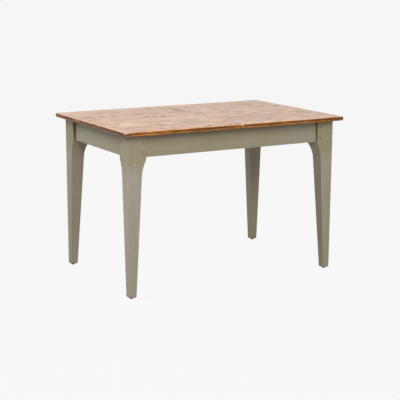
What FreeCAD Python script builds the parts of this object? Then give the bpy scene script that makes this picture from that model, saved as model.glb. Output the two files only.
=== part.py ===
import FreeCAD, Part
import math
import os

# Extending kitchen table: a plank top in two sliding halves on a painted frame of four flared legs.
# Millimetres. X runs along the length, Y from front to back, Z up, origin on the floor under the centre.

# Overall sizes
table_length = 1200.0
table_width = 800.0
table_height = 775.0
end_overhang = 40.0
side_overhang = 46.0

# Plank top
top_thickness = 20.0
top_corner_radius = 25.0
edge_round_share = 0.4
board_count = 6
board_arris = 0.8
seam_gap = 0.6

# Legs
leg_block = 90.0
block_drop = 10.0
flare_inset = 22.0
flare_height = 75.0
leg_foot = 36.0
leg_arris = 2.0
glide_height = 7.5
glide_radius = 8.0
glide_tread_share = 0.8
glide_nail_radius = 1.5
glide_nail_length = 14.0

# Aprons, tenons and pegs
apron_height = 104.5
apron_thickness = 22.0
apron_recess = 15.0
top_clearance = 0.5
tenon_thickness = 10.0
tenon_shoulder = 12.0
tenon_meeting_gap = 4.0
mortise_end_gap = 2.0
peg_radius = 4.5
peg_setback = 14.0
peg_depth_past_apron = 5.0
peg_proud = 0.5
peg_height_shares = (0.21, 0.70)
glue_gap = 0.1

# Corner blocks
corner_block_height = 38.0
corner_block_thickness = 25.0
corner_block_gap = 3.0

# Cleats under the top halves
cleat_thickness = 18.0
cleat_width = 60.0
cleat_catch_gap = 4.0
cleat_place_share = 2 / 27
cleat_bar_inset = 5.0
cleat_end_margin = 6.0

# Slide bars and guide rails
bar_width = 18.0
bar_relief = 1.5
bar_height = 38.5
bar_overlap = 300.0
bar_end_margin = 4.0
rail_width = 20.0
rail_leg_gap = 6.0
slide_side_gap = 2.0
groove_height = 10.0
groove_depth = 6.0
groove_height_share = 0.5
slide_clearance = 0.4
stub_tenon_depth = 10.0
stub_height_share = 0.6

# Bearers under the rails and the stored leaf, part of the way from the middle to the legs
bearer_width = 40.0
bearer_setback = 10.0
bearer_place_share = 50 / 79

# Stored extension leaf
leaf_side_gap = 4.0
leaf_head_gap = 2.0
leaf_cleat_width = 40.0
leaf_cleat_length_share = 0.9
leaf_cleat_place_share = 0.6

# Screws and seam dowels
screw_radius = 2.2
screw_head_radius = 4.4
screw_head_height = 3.0
screw_bite_share = 0.65
screw_edge = 10.0
screw_stagger = 15.0
dowel_radius = 4.0
dowel_bury = 20.0
dowel_reach = 14.0
dowel_running_gap = 0.3
dowel_boards = (0, 2, 3, 5)

# Catches that hold the halves together
catch_half_span = 25.0
hook_thickness = 3.0
hook_drop = 6.0
hook_half_width = 8.0
hook_tip = 8.0
hook_running_gap = 0.1
hook_notch_gap = 0.5
hook_lift = 0.2
catch_head_radius = 7.0
catch_head_height = 3.0
catch_shoulder_radius = 4.0
catch_post_radius = 3.5
catch_post_spare = 2.0
catch_thread_radius = 2.5
catch_thread_length = 13.0

# Extra length on every cutting tool
overrun = 1.0

# Heights worked out from the sizes above
underside = table_height - top_thickness
frame_top = underside - top_clearance
apron_bottom = frame_top - apron_height
cleat_bottom = underside - cleat_thickness
bar_bottom = cleat_bottom - bar_height
rail_top = cleat_bottom - bar_relief
bearer_top = bar_bottom - bar_relief
bearer_bottom = apron_bottom + bearer_setback
groove_middle = bearer_top + groove_height_share * (rail_top - bearer_top)
leaf_top = cleat_bottom - leaf_head_gap
leaf_underside = leaf_top - top_thickness

# Plan places, counted from the middle of the table
half_length = table_length / 2
half_width = table_width / 2
leg_outer_x = half_length - end_overhang
leg_outer_y = half_width - side_overhang
leg_inner_x = leg_outer_x - leg_block
leg_inner_y = leg_outer_y - leg_block
apron_inner_x = leg_outer_x - apron_recess - apron_thickness
apron_inner_y = leg_outer_y - apron_recess - apron_thickness
tenon_end = apron_recess + (apron_thickness + tenon_thickness) / 2 + tenon_meeting_gap
tenon_length = leg_block - tenon_end
rail_outer = leg_inner_y - rail_leg_gap
rail_inner = rail_outer - rail_width
left_bar_inner = rail_outer + slide_side_gap
left_bar_outer = left_bar_inner + bar_width
right_bar_outer = rail_inner - slide_side_gap
right_bar_inner = right_bar_outer - bar_width
leaf_half_width = right_bar_inner - leaf_side_gap - dowel_reach
leaf_half_length = half_width
travel = leaf_half_width
bar_end = leg_inner_x - travel - bar_end_margin
cleat_half_length = left_bar_outer + cleat_end_margin
catch_clear = catch_half_span + hook_half_width + cleat_catch_gap
cleat_room = bar_end - cleat_bar_inset - catch_clear - 2 * cleat_width
cleat_seam_inset = catch_clear + cleat_place_share * cleat_room
outer_cleat_x = bar_end - cleat_bar_inset - cleat_width / 2
inner_cleat_x = cleat_seam_inset + cleat_width / 2
bearer_x = bearer_place_share * leg_inner_x
catch_y = (cleat_half_length + apron_inner_y) / 2
hook_top = underside - hook_drop
hook_bottom = hook_top - hook_thickness
board_width = table_width / board_count
leaf_board_width = 2 * leaf_half_length / board_count

ORIGIN = FreeCAD.Vector(0, 0, 0)
ALONG_X = FreeCAD.Vector(1, 0, 0)
ALONG_Y = FreeCAD.Vector(0, 1, 0)
UP = FreeCAD.Vector(0, 0, 1)
DOWN = FreeCAD.Vector(0, 0, -1)


def point(x, y, z):
    return FreeCAD.Vector(x, y, z)


def block(x_span, y_span, z_span):
    """Box between pairs of limits, each given in either order."""
    low = point(min(x_span), min(y_span), min(z_span))
    size = point(max(x_span), max(y_span), max(z_span)) - low
    return Part.makeBox(size.x, size.y, size.z, low)


def rod(radius, start, end):
    """Round bar from one point to another."""
    return Part.makeCylinder(radius, (end - start).Length, start, end - start)


def prism(corners, sweep):
    """Solid swept from a flat outline."""
    return Part.Face(Part.makePolygon(corners + corners[:1])).extrude(sweep)


def mirror_x(shape):
    return shape.mirror(ORIGIN, ALONG_X)


def mirror_y(shape):
    return shape.mirror(ORIGIN, ALONG_Y)


def cut(shape, tools):
    """The one solid that is left after the tools are taken away."""
    return shape.cut(tools).Solids[0]


def joined(first, others):
    """One solid made of pieces that meet."""
    return first.fuse(others).removeSplitter().Solids[0]


def screw(head, direction, length):
    """Countersunk wood screw, its flat head face at the given point."""
    neck = head + direction * screw_head_height
    cone = Part.makeCone(screw_head_radius, screw_radius, screw_head_height, head, direction)
    return joined(cone, [rod(screw_radius, neck, head + direction * length)])


def screw_hole(head, direction, length, access=0.0):
    """Countersunk hole for a screw, open above its head."""
    neck = head + direction * screw_head_height
    cone = Part.makeCone(
        screw_head_radius + glue_gap, screw_radius + glue_gap, screw_head_height, head, direction)
    shank = rod(screw_radius + glue_gap, neck, head + direction * (length + glue_gap))
    mouth = rod(screw_head_radius + glue_gap, head - direction * (overrun + access), head)
    return cone.fuse([shank, mouth])


# Legs and feet


def leg_side():
    """Edges of the leg's side view: straight foot to waist, cove up to the square block."""
    leg_waist = leg_block - flare_inset
    block_bottom = apron_bottom - block_drop
    flare_bottom = block_bottom - flare_height
    foot = point(leg_foot, 0, glide_height)
    waist = point(leg_waist, 0, flare_bottom)
    shoulder = point(leg_block, 0, block_bottom)
    rise = (waist - foot).normalize()
    outward = point(rise.z, 0, -rise.x)
    chord = shoulder - waist
    cove_radius = chord.dot(chord) / (2 * chord.dot(outward))
    cove_centre = waist + outward * cove_radius
    middle = (waist + shoulder) * 0.5 - cove_centre
    cove_middle = cove_centre + middle.normalize() * cove_radius
    heel = point(0, 0, glide_height)
    inner_top = point(leg_block, 0, frame_top)
    outer_top = point(0, 0, frame_top)
    return Part.Wire([
        Part.LineSegment(heel, foot).toShape(),
        Part.LineSegment(foot, waist).toShape(),
        Part.Arc(waist, cove_middle, shoulder).toShape(),
        Part.LineSegment(shoulder, inner_top).toShape(),
        Part.LineSegment(inner_top, outer_top).toShape(),
        Part.LineSegment(outer_top, heel).toShape(),
    ])


def mortise():
    """Slot in a leg for the tenon of the apron that runs along X."""
    slot_middle = apron_recess + apron_thickness / 2
    half_slot = tenon_thickness / 2 + glue_gap
    return block(
        (tenon_end - mortise_end_gap, leg_block + overrun),
        (slot_middle - half_slot, slot_middle + half_slot),
        (apron_bottom + tenon_shoulder - glue_gap, frame_top - tenon_shoulder + glue_gap))


def peg_ends():
    """Inner and outer ends of the two pegs through the same joint, seen from the leg's outer corner."""
    across = leg_block - peg_setback
    inner = apron_recess + apron_thickness + peg_depth_past_apron
    heights = [apron_bottom + share * apron_height for share in peg_height_shares]
    return [(point(across, inner, height), point(across, -peg_proud, height)) for height in heights]


def swap_xy(shape):
    """The same shape with X and Y exchanged, as for the joint on the leg's other inner face."""
    return shape.mirror(ORIGIN, point(1, -1, 0))


def corner_leg():
    """Leg with its outer corner at the origin and its inner faces towards +X and +Y."""
    face = Part.Face(leg_side())
    along = face.extrude(ALONG_Y * leg_block)
    leg = along.common(swap_xy(along)).Solids[0]
    uprights = [edge for edge in leg.Edges if edge.BoundBox.ZLength > leg_arris]
    leg = leg.makeFillet(leg_arris, uprights)
    holes = [rod(peg_radius + glue_gap, inner + ALONG_Y * glue_gap, outer - ALONG_Y * overrun)
             for inner, outer in peg_ends()]
    tools = [mortise()] + holes
    nail_foot = point(leg_foot / 2, leg_foot / 2, glide_height)
    nail_hole = rod(glide_nail_radius + glue_gap, nail_foot - UP * overrun,
                    nail_foot + UP * (glide_nail_length + glue_gap))
    return cut(leg, tools + [swap_xy(tool) for tool in tools] + [nail_hole])


def corner_glide():
    """Nail-on glide under the leg's foot."""
    tread = Part.makeCone(
        glide_tread_share * glide_radius, glide_radius, glide_height, point(leg_foot / 2, leg_foot / 2, 0))
    foot = point(leg_foot / 2, leg_foot / 2, glide_height)
    return joined(tread, [rod(glide_nail_radius, foot, foot + UP * glide_nail_length)])


def at_corners(shape):
    """A front left corner piece, counted from the leg's outer corner, at all four corners."""
    front_left = shape.translated(point(-leg_outer_x, -leg_outer_y, 0))
    return {
        "front_left": front_left,
        "front_right": mirror_x(front_left),
        "back_left": mirror_y(front_left),
        "back_right": mirror_x(mirror_y(front_left)),
    }


def legs_and_feet():
    nodes = {f"leg_{corner}": leg for corner, leg in at_corners(corner_leg()).items()}
    nodes["foot_glides"] = Part.makeCompound(list(at_corners(corner_glide()).values()))
    pegs = []
    for inner, outer in peg_ends():
        peg = rod(peg_radius, inner, outer)
        pegs.extend(at_corners(peg).values())
        pegs.extend(at_corners(swap_xy(peg)).values())
    nodes["tenon_pegs"] = Part.makeCompound(pegs)
    return nodes


# Aprons


def apron_blank(half_shoulder, face_y):
    """Apron along X with its outer face at face_y and a tenon on each end."""
    tenon_inset = (apron_thickness - tenon_thickness) / 2
    body = block(
        (-half_shoulder, half_shoulder), (face_y, face_y + apron_thickness), (apron_bottom, frame_top))
    tongue = block(
        (-half_shoulder - tenon_length, half_shoulder + tenon_length),
        (face_y + tenon_inset, face_y + apron_thickness - tenon_inset),
        (apron_bottom + tenon_shoulder, frame_top - tenon_shoulder))
    return joined(body, [tongue])


def apron_peg_holes(half_shoulder, face_y):
    """Peg holes across both tenons of an apron that runs along X."""
    holes = []
    for share in peg_height_shares:
        start = point(half_shoulder + peg_setback, face_y, apron_bottom + share * apron_height)
        hole = rod(peg_radius + glue_gap, start, start + ALONG_Y * apron_thickness)
        holes.extend([hole, mirror_x(hole)])
    return holes


def aprons():
    front_face = -leg_outer_y + apron_recess
    front = apron_blank(leg_inner_x, front_face)
    front = cut(front, apron_peg_holes(leg_inner_x, front_face) + [
        bearer_stub(side, glue_gap) for side in (-1, 1)])
    left_face = -leg_outer_x + apron_recess
    left = swap_xy(cut(apron_blank(leg_inner_y, left_face), apron_peg_holes(leg_inner_y, left_face)))
    left = cut(left, [rail_stub(side, glue_gap) for side in (-1, 1)])
    return {
        "apron_front": front,
        "apron_back": mirror_y(front),
        "apron_left": left,
        "apron_right": mirror_x(left),
    }


# Bearers, guide rails and corner blocks


def stub_span(low, high, gap):
    """Height of a stub tenon in the middle of a rail or bearer."""
    half_stub = stub_height_share * (high - low) / 2
    return ((low + high) / 2 - half_stub - gap, (low + high) / 2 + half_stub + gap)


def bearer_stub(side, gap):
    """Stub tenon of a bearer in the front apron, on the left (-1) or the right (1)."""
    return block(
        (side * bearer_x - bearer_width / 2 - gap, side * bearer_x + bearer_width / 2 + gap),
        (-apron_inner_y - stub_tenon_depth - gap, -apron_inner_y),
        stub_span(bearer_bottom, bearer_top, gap))


def rail_stub(side, gap):
    """Stub tenon of a guide rail in the left apron, at the front (-1) or the back (1)."""
    return block(
        (-apron_inner_x - stub_tenon_depth - gap, -apron_inner_x),
        (side * rail_inner - side * gap, side * rail_outer + side * gap),
        stub_span(bearer_top, rail_top, gap))


def rail_screw_heads():
    """Head places of the screws that go up through the bearers into the rails."""
    rail_middle = (rail_inner + rail_outer) / 2
    return [point(x, y, bearer_bottom) for x in (-bearer_x, bearer_x) for y in (-rail_middle, rail_middle)]


def rail_screw_length():
    return (bearer_top - bearer_bottom) + screw_bite_share * (groove_middle - groove_height / 2 - bearer_top)


def guide_rails_and_bearers():
    holes = [screw_hole(head, UP, rail_screw_length()) for head in rail_screw_heads()]
    bearer = block(
        (-bearer_x - bearer_width / 2, -bearer_x + bearer_width / 2),
        (-apron_inner_y, apron_inner_y), (bearer_bottom, bearer_top))
    stub = bearer_stub(-1, 0.0)
    bearer = cut(joined(bearer, [stub, mirror_y(stub)]), holes)
    rail = block((-apron_inner_x, apron_inner_x), (rail_inner, rail_outer), (bearer_top, rail_top))
    stub = rail_stub(1, 0.0)
    rail = joined(rail, [stub, mirror_x(stub)])
    groove_span = (groove_middle - groove_height / 2, groove_middle + groove_height / 2)
    shoulder_span = (-apron_inner_x, apron_inner_x)
    outer_groove = block(shoulder_span, (rail_outer - groove_depth, rail_outer + overrun), groove_span)
    inner_groove = block(shoulder_span, (rail_inner - overrun, rail_inner + groove_depth), groove_span)
    rail = cut(rail, [outer_groove, inner_groove] + holes)
    return {
        "bearer_left": bearer,
        "bearer_right": mirror_x(bearer),
        "guide_rail_back": rail,
        "guide_rail_front": mirror_y(rail),
        "rail_screws": Part.makeCompound(
            [screw(head, UP, rail_screw_length()) for head in rail_screw_heads()]),
    }


def corner_screw_places(slant):
    """Head and direction of the screws from a corner block into its two aprons, back right corner."""
    height = bearer_top - corner_block_gap - corner_block_height / 2
    corner_sum = leg_inner_x + leg_inner_y
    along_long = corner_sum - apron_inner_y - slant / 2
    along_end = corner_sum - apron_inner_x - slant / 2
    return [
        (point(along_long, apron_inner_y - slant / 2, height), ALONG_Y),
        (point(apron_inner_x - slant / 2, along_end, height), ALONG_X),
    ]


def corner_blocks():
    """Diagonal blocks that brace the aprons across each leg."""
    slant = corner_block_thickness * math.sqrt(2)
    corner_sum = leg_inner_x + leg_inner_y
    high = bearer_top - corner_block_gap
    outline = [
        point(corner_sum - apron_inner_y, apron_inner_y, high - corner_block_height),
        point(corner_sum - apron_inner_y - slant, apron_inner_y, high - corner_block_height),
        point(apron_inner_x, corner_sum - apron_inner_x - slant, high - corner_block_height),
        point(apron_inner_x, corner_sum - apron_inner_x, high - corner_block_height),
    ]
    length = slant / 2 + screw_bite_share * apron_thickness
    places = corner_screw_places(slant)
    holes = [screw_hole(head, direction, length, screw_head_radius) for head, direction in places]
    brace = cut(prism(outline, UP * corner_block_height), holes)
    screws = [screw(head, direction, length) for head, direction in places]
    nodes = {
        "corner_block_back_right": brace,
        "corner_block_back_left": mirror_x(brace),
        "corner_block_front_right": mirror_y(brace),
        "corner_block_front_left": mirror_x(mirror_y(brace)),
    }
    all_screws = []
    for one in screws:
        all_screws.extend([one, mirror_x(one), mirror_y(one), mirror_x(mirror_y(one))])
    nodes["corner_screws"] = Part.makeCompound(all_screws)
    return nodes, holes


def with_corner_pilot_holes(nodes, holes):
    """Aprons drilled for the corner block screws."""
    tools = []
    for hole in holes:
        tools.extend([hole, mirror_x(hole), mirror_y(hole), mirror_x(mirror_y(hole))])
    return {name: cut(apron, tools) for name, apron in nodes.items()}


# Plank top


def top_plate():
    """Whole top before it is sawn: rounded corners, rounded edges and a fine V along each board joint."""
    plate = block((-half_length, half_length), (-half_width, half_width), (underside, table_height))
    uprights = [e for e in plate.Edges if e.BoundBox.ZLength > top_thickness / 2]
    plate = plate.makeFillet(top_corner_radius, uprights)
    rims = [e for e in plate.Edges if e.BoundBox.ZLength < top_thickness / 2]
    plate = plate.makeFillet(edge_round_share * top_thickness, rims)
    joints = [(n - board_count / 2) * board_width for n in range(1, board_count)]
    grooves = [
        vee_groove(point(-half_length - overrun, y, table_height), ALONG_X * (table_length + 2 * overrun))
        for y in joints]
    edges = [point(x, -half_width - overrun, table_height) for x in (-seam_gap / 2, seam_gap / 2)]
    grooves += [vee_groove(edge, ALONG_Y * (table_width + 2 * overrun)) for edge in edges]
    return plate.cut(grooves)


def vee_groove(start, sweep):
    """Shallow V whose middle line starts at a point on the upper face."""
    across = sweep.cross(UP).normalize()
    corners = [
        start - across * (board_arris + overrun) + UP * overrun,
        start + across * (board_arris + overrun) + UP * overrun,
        start + DOWN * board_arris,
    ]
    return prism(corners, sweep)


def cleat_screw_heads():
    """Screw places in the left half's cleats, at least one in each board."""
    heads = []
    for cleat_x in (inner_cleat_x, outer_cleat_x):
        for number in range(board_count):
            middle = (number + 0.5 - board_count / 2) * board_width
            reach = min(abs(middle), cleat_half_length - screw_edge)
            heads.append(point(-cleat_x - screw_stagger, math.copysign(reach, middle), cleat_bottom))
    return heads


def cleat_screw_length():
    return cleat_thickness + screw_bite_share * top_thickness


def dowel_places():
    """Middle of the seam at each dowel."""
    middles = [(number + 0.5 - board_count / 2) * board_width for number in dowel_boards]
    return [point(0, y, underside + top_thickness / 2) for y in middles]


def board(plate, number, x_span, tools):
    low = (number - board_count / 2) * board_width
    sawn = plate.common(block(x_span, (low, low + board_width), (underside - overrun, table_height + overrun)))
    return cut(sawn.Solids[0], tools)


def left_boards(plate):
    span = (-half_length - overrun, -seam_gap / 2)
    tools = [screw_hole(head, UP, cleat_screw_length()) for head in cleat_screw_heads()]
    for place in dowel_places():
        tools.append(rod(dowel_radius + glue_gap, place - ALONG_X * (dowel_bury + glue_gap), place))
    tools += [rod(catch_thread_radius + glue_gap, place - UP * overrun,
                  place + UP * (catch_thread_length + glue_gap)) for place in catch_places(-1)]
    return {f"left_board_{n + 1}": board(plate, n, span, tools) for n in range(board_count)}


def right_boards(plate):
    span = (seam_gap / 2, half_length + overrun)
    tools = [mirror_x(screw_hole(head, UP, cleat_screw_length())) for head in cleat_screw_heads()]
    for place in dowel_places():
        end = place + ALONG_X * (dowel_reach + mortise_end_gap)
        tools.append(rod(dowel_radius + dowel_running_gap, place, end))
    tools += [rod(catch_thread_radius + glue_gap, place - UP * overrun,
                  place + UP * (catch_thread_length + glue_gap)) for place in catch_places(1)]
    return {f"right_board_{n + 1}": board(plate, n, span, tools) for n in range(board_count)}


def seam_dowels():
    return Part.makeCompound([
        rod(dowel_radius, place - ALONG_X * dowel_bury, place + ALONG_X * dowel_reach)
        for place in dowel_places()])


# Cleats and slide bars


def bar_screw_heads(bar_middle):
    """Screw places in the left half's pair of bars, given the bars' distance from the centre line."""
    return [point(-x + screw_stagger, y, bar_bottom)
            for x in (inner_cleat_x, outer_cleat_x) for y in (-bar_middle, bar_middle)]


def bar_screw_length():
    return bar_height + screw_bite_share * cleat_thickness


def left_cleats(bar_middle):
    """Cleats that hold the left boards together and carry the bars."""
    tools = [screw_hole(head, UP, cleat_screw_length()) for head in cleat_screw_heads()]
    tools += [screw_hole(head, UP, bar_screw_length()) for head in bar_screw_heads(bar_middle)]
    cleats = {}
    for name, middle in (("inner", inner_cleat_x), ("outer", outer_cleat_x)):
        blank = block(
            (-middle - cleat_width / 2, -middle + cleat_width / 2),
            (-cleat_half_length, cleat_half_length), (cleat_bottom, underside))
        cleats[name] = cut(blank, tools)
    return cleats


def left_bar(inner, outer, tongue_side):
    """Back bar of the left half: screwed to its cleats, relieved where it passes under the other half."""
    body = block((-bar_end, bar_overlap), (inner, outer), (bar_bottom, cleat_bottom))
    relief = block((0, bar_overlap + overrun), (inner - overrun, outer + overrun),
                   (rail_top, cleat_bottom + overrun))
    tongue_length = slide_side_gap + groove_depth - slide_clearance
    root = inner if tongue_side < 0 else outer
    half_tongue = groove_height / 2 - slide_clearance
    tongue = block((-bar_end, bar_overlap), (root, root + tongue_side * tongue_length),
                   (groove_middle - half_tongue, groove_middle + half_tongue))
    tools = [screw_hole(head, UP, bar_screw_length()) for head in bar_screw_heads((inner + outer) / 2)]
    return cut(joined(body, [tongue]), [relief] + tools)


def half_underparts(side, inner, outer, tongue_side):
    """Cleats, bars and screws of one half, modelled on the left and mirrored for the right."""
    place = Part.Shape.copy if side == "left" else mirror_x
    bar_middle = (inner + outer) / 2
    bar = left_bar(inner, outer, tongue_side)
    nodes = {f"{side}_cleat_{name}": place(cleat) for name, cleat in left_cleats(bar_middle).items()}
    nodes[f"{side}_slide_bar_back"] = place(bar)
    nodes[f"{side}_slide_bar_front"] = place(mirror_y(bar))
    nodes[f"{side}_cleat_screws"] = Part.makeCompound(
        [place(screw(head, UP, cleat_screw_length())) for head in cleat_screw_heads()])
    nodes[f"{side}_bar_screws"] = Part.makeCompound(
        [place(screw(head, UP, bar_screw_length())) for head in bar_screw_heads(bar_middle)])
    return nodes


# Stored leaf


def leaf_screw_heads():
    """Screw places in the leaf's two cleats, one in each board."""
    cleat_y = leaf_cleat_place_share * leaf_half_width
    middles = [(number + 0.5 - board_count / 2) * leaf_board_width for number in range(board_count)]
    return [point(x, y, bearer_top) for y in (-cleat_y, cleat_y) for x in middles]


def stored_leaf():
    """Loose leaf turned a quarter round and laid on the bearers under the top."""
    leaf_cleat_thickness = leaf_underside - bearer_top
    plate = block((-leaf_half_length, leaf_half_length), (-leaf_half_width, leaf_half_width),
                  (leaf_underside, leaf_top))
    rims = [e for e in plate.Edges if e.BoundBox.YLength > leaf_half_width]
    outer_rims = [e for e in rims if abs(e.BoundBox.XMin) > leaf_half_length / 2]
    plate = plate.makeFillet(edge_round_share * top_thickness, outer_rims)
    joints = [(n - board_count / 2) * leaf_board_width for n in range(1, board_count)]
    plate = plate.cut([
        vee_groove(point(x, -leaf_half_width - overrun, leaf_top), ALONG_Y * 2 * (leaf_half_width + overrun))
        for x in joints])
    length = leaf_cleat_thickness + screw_bite_share * top_thickness
    tools = [screw_hole(head, UP, length) for head in leaf_screw_heads()]
    middle_height = (leaf_underside + leaf_top) / 2
    dowels = []
    for number in dowel_boards:
        x = (number + 0.5 - board_count / 2) * leaf_board_width
        edge = point(x, leaf_half_width, middle_height)
        dowels.append(rod(dowel_radius, edge - ALONG_Y * dowel_bury, edge + ALONG_Y * dowel_reach))
        tools.append(rod(dowel_radius + glue_gap, edge - ALONG_Y * (dowel_bury + glue_gap), edge))
        far_edge = point(x, -leaf_half_width, middle_height)
        tools.append(rod(dowel_radius + dowel_running_gap, far_edge,
                         far_edge + ALONG_Y * (dowel_reach + mortise_end_gap)))
    nodes = {}
    for number in range(board_count):
        low = (number - board_count / 2) * leaf_board_width
        room = block((low, low + leaf_board_width), (-leaf_half_width, leaf_half_width),
                     (leaf_underside, leaf_top))
        nodes[f"leaf_board_{number + 1}"] = cut(plate.common(room).Solids[0], tools)
    reach = leaf_cleat_length_share * leaf_half_length
    for name, side in (("front", -1), ("back", 1)):
        middle = side * leaf_cleat_place_share * leaf_half_width
        blank = block((-reach, reach), (middle - leaf_cleat_width / 2, middle + leaf_cleat_width / 2),
                      (bearer_top, leaf_underside))
        nodes[f"leaf_cleat_{name}"] = cut(blank, tools)
    nodes["leaf_screws"] = Part.makeCompound([screw(head, UP, length) for head in leaf_screw_heads()])
    nodes["leaf_dowels"] = Part.makeCompound(dowels)
    return nodes


# Catches


def catch_places(side):
    """Points on the underside where the catches are fixed, left half (-1) or right half (1)."""
    return [point(side * catch_half_span, y, underside) for y in (-catch_y, catch_y)]


def catch_pivot(place):
    """Shoulder screw that a hook turns on."""
    shoulder_end = point(place.x, place.y, hook_bottom)
    collar = rod(catch_head_radius, point(place.x, place.y, hook_top + hook_lift), place)
    shoulder = rod(catch_shoulder_radius, shoulder_end, place)
    head = rod(catch_head_radius, shoulder_end - UP * catch_head_height, shoulder_end)
    thread = rod(catch_thread_radius, place, place + UP * catch_thread_length)
    return joined(collar, [shoulder, head, thread])


def catch_post(place):
    """Headed post that a hook closes on."""
    head_top = point(place.x, place.y, hook_bottom - catch_post_spare)
    flange = rod(catch_head_radius, point(place.x, place.y, hook_top + catch_post_spare), place)
    stem = rod(catch_post_radius, head_top, place)
    head = rod(catch_head_radius, head_top - UP * catch_head_height, head_top)
    thread = rod(catch_thread_radius, place, place + UP * catch_thread_length)
    return joined(flange, [stem, head, thread])


def back_hook():
    """Swinging hook of the back catch, turned a quarter round from its post."""
    pivot = point(-catch_half_span, catch_y, hook_bottom)
    span = 2 * catch_half_span
    reach = span + catch_post_radius + hook_notch_gap + hook_tip
    notch = catch_post_radius + hook_notch_gap
    thickness = UP * hook_thickness
    arm = block((pivot.x, pivot.x + reach), (catch_y - hook_half_width, catch_y + hook_half_width),
                (hook_bottom, hook_top))
    eye = rod(hook_half_width, pivot, pivot + thickness)
    low, high = pivot - UP * overrun, pivot + thickness + UP * overrun
    bore = rod(catch_shoulder_radius + hook_running_gap, low, high)
    post_room = rod(notch, low + ALONG_X * span, high + ALONG_X * span)
    ring = rod(span + notch, low, high).cut(rod(span - notch, low, high))
    mouth = block((pivot.x, pivot.x + reach + overrun), (catch_y, catch_y + span),
                  (hook_bottom - overrun, hook_top + overrun))
    closed = cut(joined(arm, [eye]), [bore, post_room, ring.common(mouth)])
    closed.rotate(pivot, UP, -90)
    return closed


def catches():
    hook = back_hook()
    return {
        "catch_hook_back": hook,
        "catch_hook_front": mirror_y(hook),
        "catch_pivots": Part.makeCompound([catch_pivot(place) for place in catch_places(-1)]),
        "catch_posts": Part.makeCompound([catch_post(place) for place in catch_places(1)]),
    }


def main():
    plate = top_plate()
    braces, brace_holes = corner_blocks()
    nodes = legs_and_feet()
    nodes.update(with_corner_pilot_holes(aprons(), brace_holes))
    nodes.update(guide_rails_and_bearers())
    nodes.update(braces)
    nodes.update(left_boards(plate))
    nodes.update(right_boards(plate))
    nodes["seam_dowels"] = seam_dowels()
    nodes.update(half_underparts("left", left_bar_inner, left_bar_outer, -1))
    nodes.update(half_underparts("right", right_bar_inner, right_bar_outer, 1))
    nodes.update(stored_leaf())
    nodes.update(catches())
    os.makedirs("parts", exist_ok=True)
    for name, shape in nodes.items():
        shape.exportStep(f"parts/{name}.step")
    print(len(nodes), "nodes, each half slides", round(travel, 3), "mm")


main()
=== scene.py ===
"""Looks of the extending kitchen table: a worn plank top in two halves on a brush-painted frame.

Metres, in the frame of the construction model: X along the table, Y from front to back, Z up.
"""
import logging
import math
from dataclasses import dataclass
from enum import Enum

import bmesh
import bpy
from mathutils import Matrix, Quaternion, Vector, noise


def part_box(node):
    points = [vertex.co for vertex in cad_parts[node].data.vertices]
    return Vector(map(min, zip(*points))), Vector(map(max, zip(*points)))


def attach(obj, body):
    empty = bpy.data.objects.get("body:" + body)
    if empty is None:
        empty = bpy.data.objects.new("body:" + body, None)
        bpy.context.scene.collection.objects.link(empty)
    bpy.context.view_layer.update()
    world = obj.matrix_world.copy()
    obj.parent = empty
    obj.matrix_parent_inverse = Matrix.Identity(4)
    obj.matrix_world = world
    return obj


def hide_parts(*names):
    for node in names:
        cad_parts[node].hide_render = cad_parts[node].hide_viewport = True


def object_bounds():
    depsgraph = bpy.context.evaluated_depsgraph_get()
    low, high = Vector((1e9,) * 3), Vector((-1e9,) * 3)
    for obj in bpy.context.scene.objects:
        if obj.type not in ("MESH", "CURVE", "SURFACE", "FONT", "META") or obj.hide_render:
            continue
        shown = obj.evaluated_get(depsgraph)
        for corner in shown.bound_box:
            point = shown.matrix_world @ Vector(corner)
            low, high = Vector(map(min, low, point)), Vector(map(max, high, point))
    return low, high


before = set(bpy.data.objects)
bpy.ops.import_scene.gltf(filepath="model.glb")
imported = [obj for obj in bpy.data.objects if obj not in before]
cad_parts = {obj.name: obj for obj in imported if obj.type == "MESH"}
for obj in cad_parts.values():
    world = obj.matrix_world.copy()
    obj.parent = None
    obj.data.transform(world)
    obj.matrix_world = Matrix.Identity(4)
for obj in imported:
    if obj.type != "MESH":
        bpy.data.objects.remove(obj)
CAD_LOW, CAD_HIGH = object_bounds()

LOG = logging.getLogger("kitchen_table")

Colour = tuple[float, float, float]
Point = tuple[float, float, float]
Band = tuple[float, float]
Socket = bpy.types.NodeSocket
Outputs = bpy.types.bpy_prop_collection
Value = float | Socket
Tree = bpy.types.NodeTree
Material = bpy.types.Material
Piece = bpy.types.Object
Shape = bmesh.types.BMesh
Edge = bmesh.types.BMEdge
Face = bmesh.types.BMFace

BOARD_COUNT = 6
DOWEL_BOARDS = (1, 3, 4, 6)
BOTH_WAYS = (-1, 1)

# A face looks a way when that part of its normal is above FLAT, and partly so when it is above FACING.
FLAT = 0.9
FACING = 0.1
# Stands for a distance that doesn't count, in metres.
FAR = 1.0
# A cut this close to a vertex goes through it, in metres.
CUT_REACH = 1e-6
# Room given to a length that is compared with an equal one.
SLACK = 1.01


class Named(Enum):
    """Options whose names are also part of node and material names."""

    def word(self) -> str:
        """Name as the nodes and materials spell it."""
        return self.name.lower()


class Axis(Named):
    """Direction in which grain or brush strokes run."""

    X = 0
    Y = 1
    Z = 2

    def order(self) -> tuple[int, int, int]:
        """Coordinate numbers along, across and through a piece that runs this way."""
        return {Axis.X: (0, 1, 2), Axis.Y: (1, 0, 2), Axis.Z: (2, 0, 1)}[self]


class Half(Named):
    """The two sliding halves of the top, with the side of the seam that each lies on."""

    LEFT = -1
    RIGHT = 1


class Corner(Named):
    """The four legs, with the signs of the corner's X and Y."""

    FRONT_LEFT = (-1, -1)
    FRONT_RIGHT = (1, -1)
    BACK_LEFT = (-1, 1)
    BACK_RIGHT = (1, 1)


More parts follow.
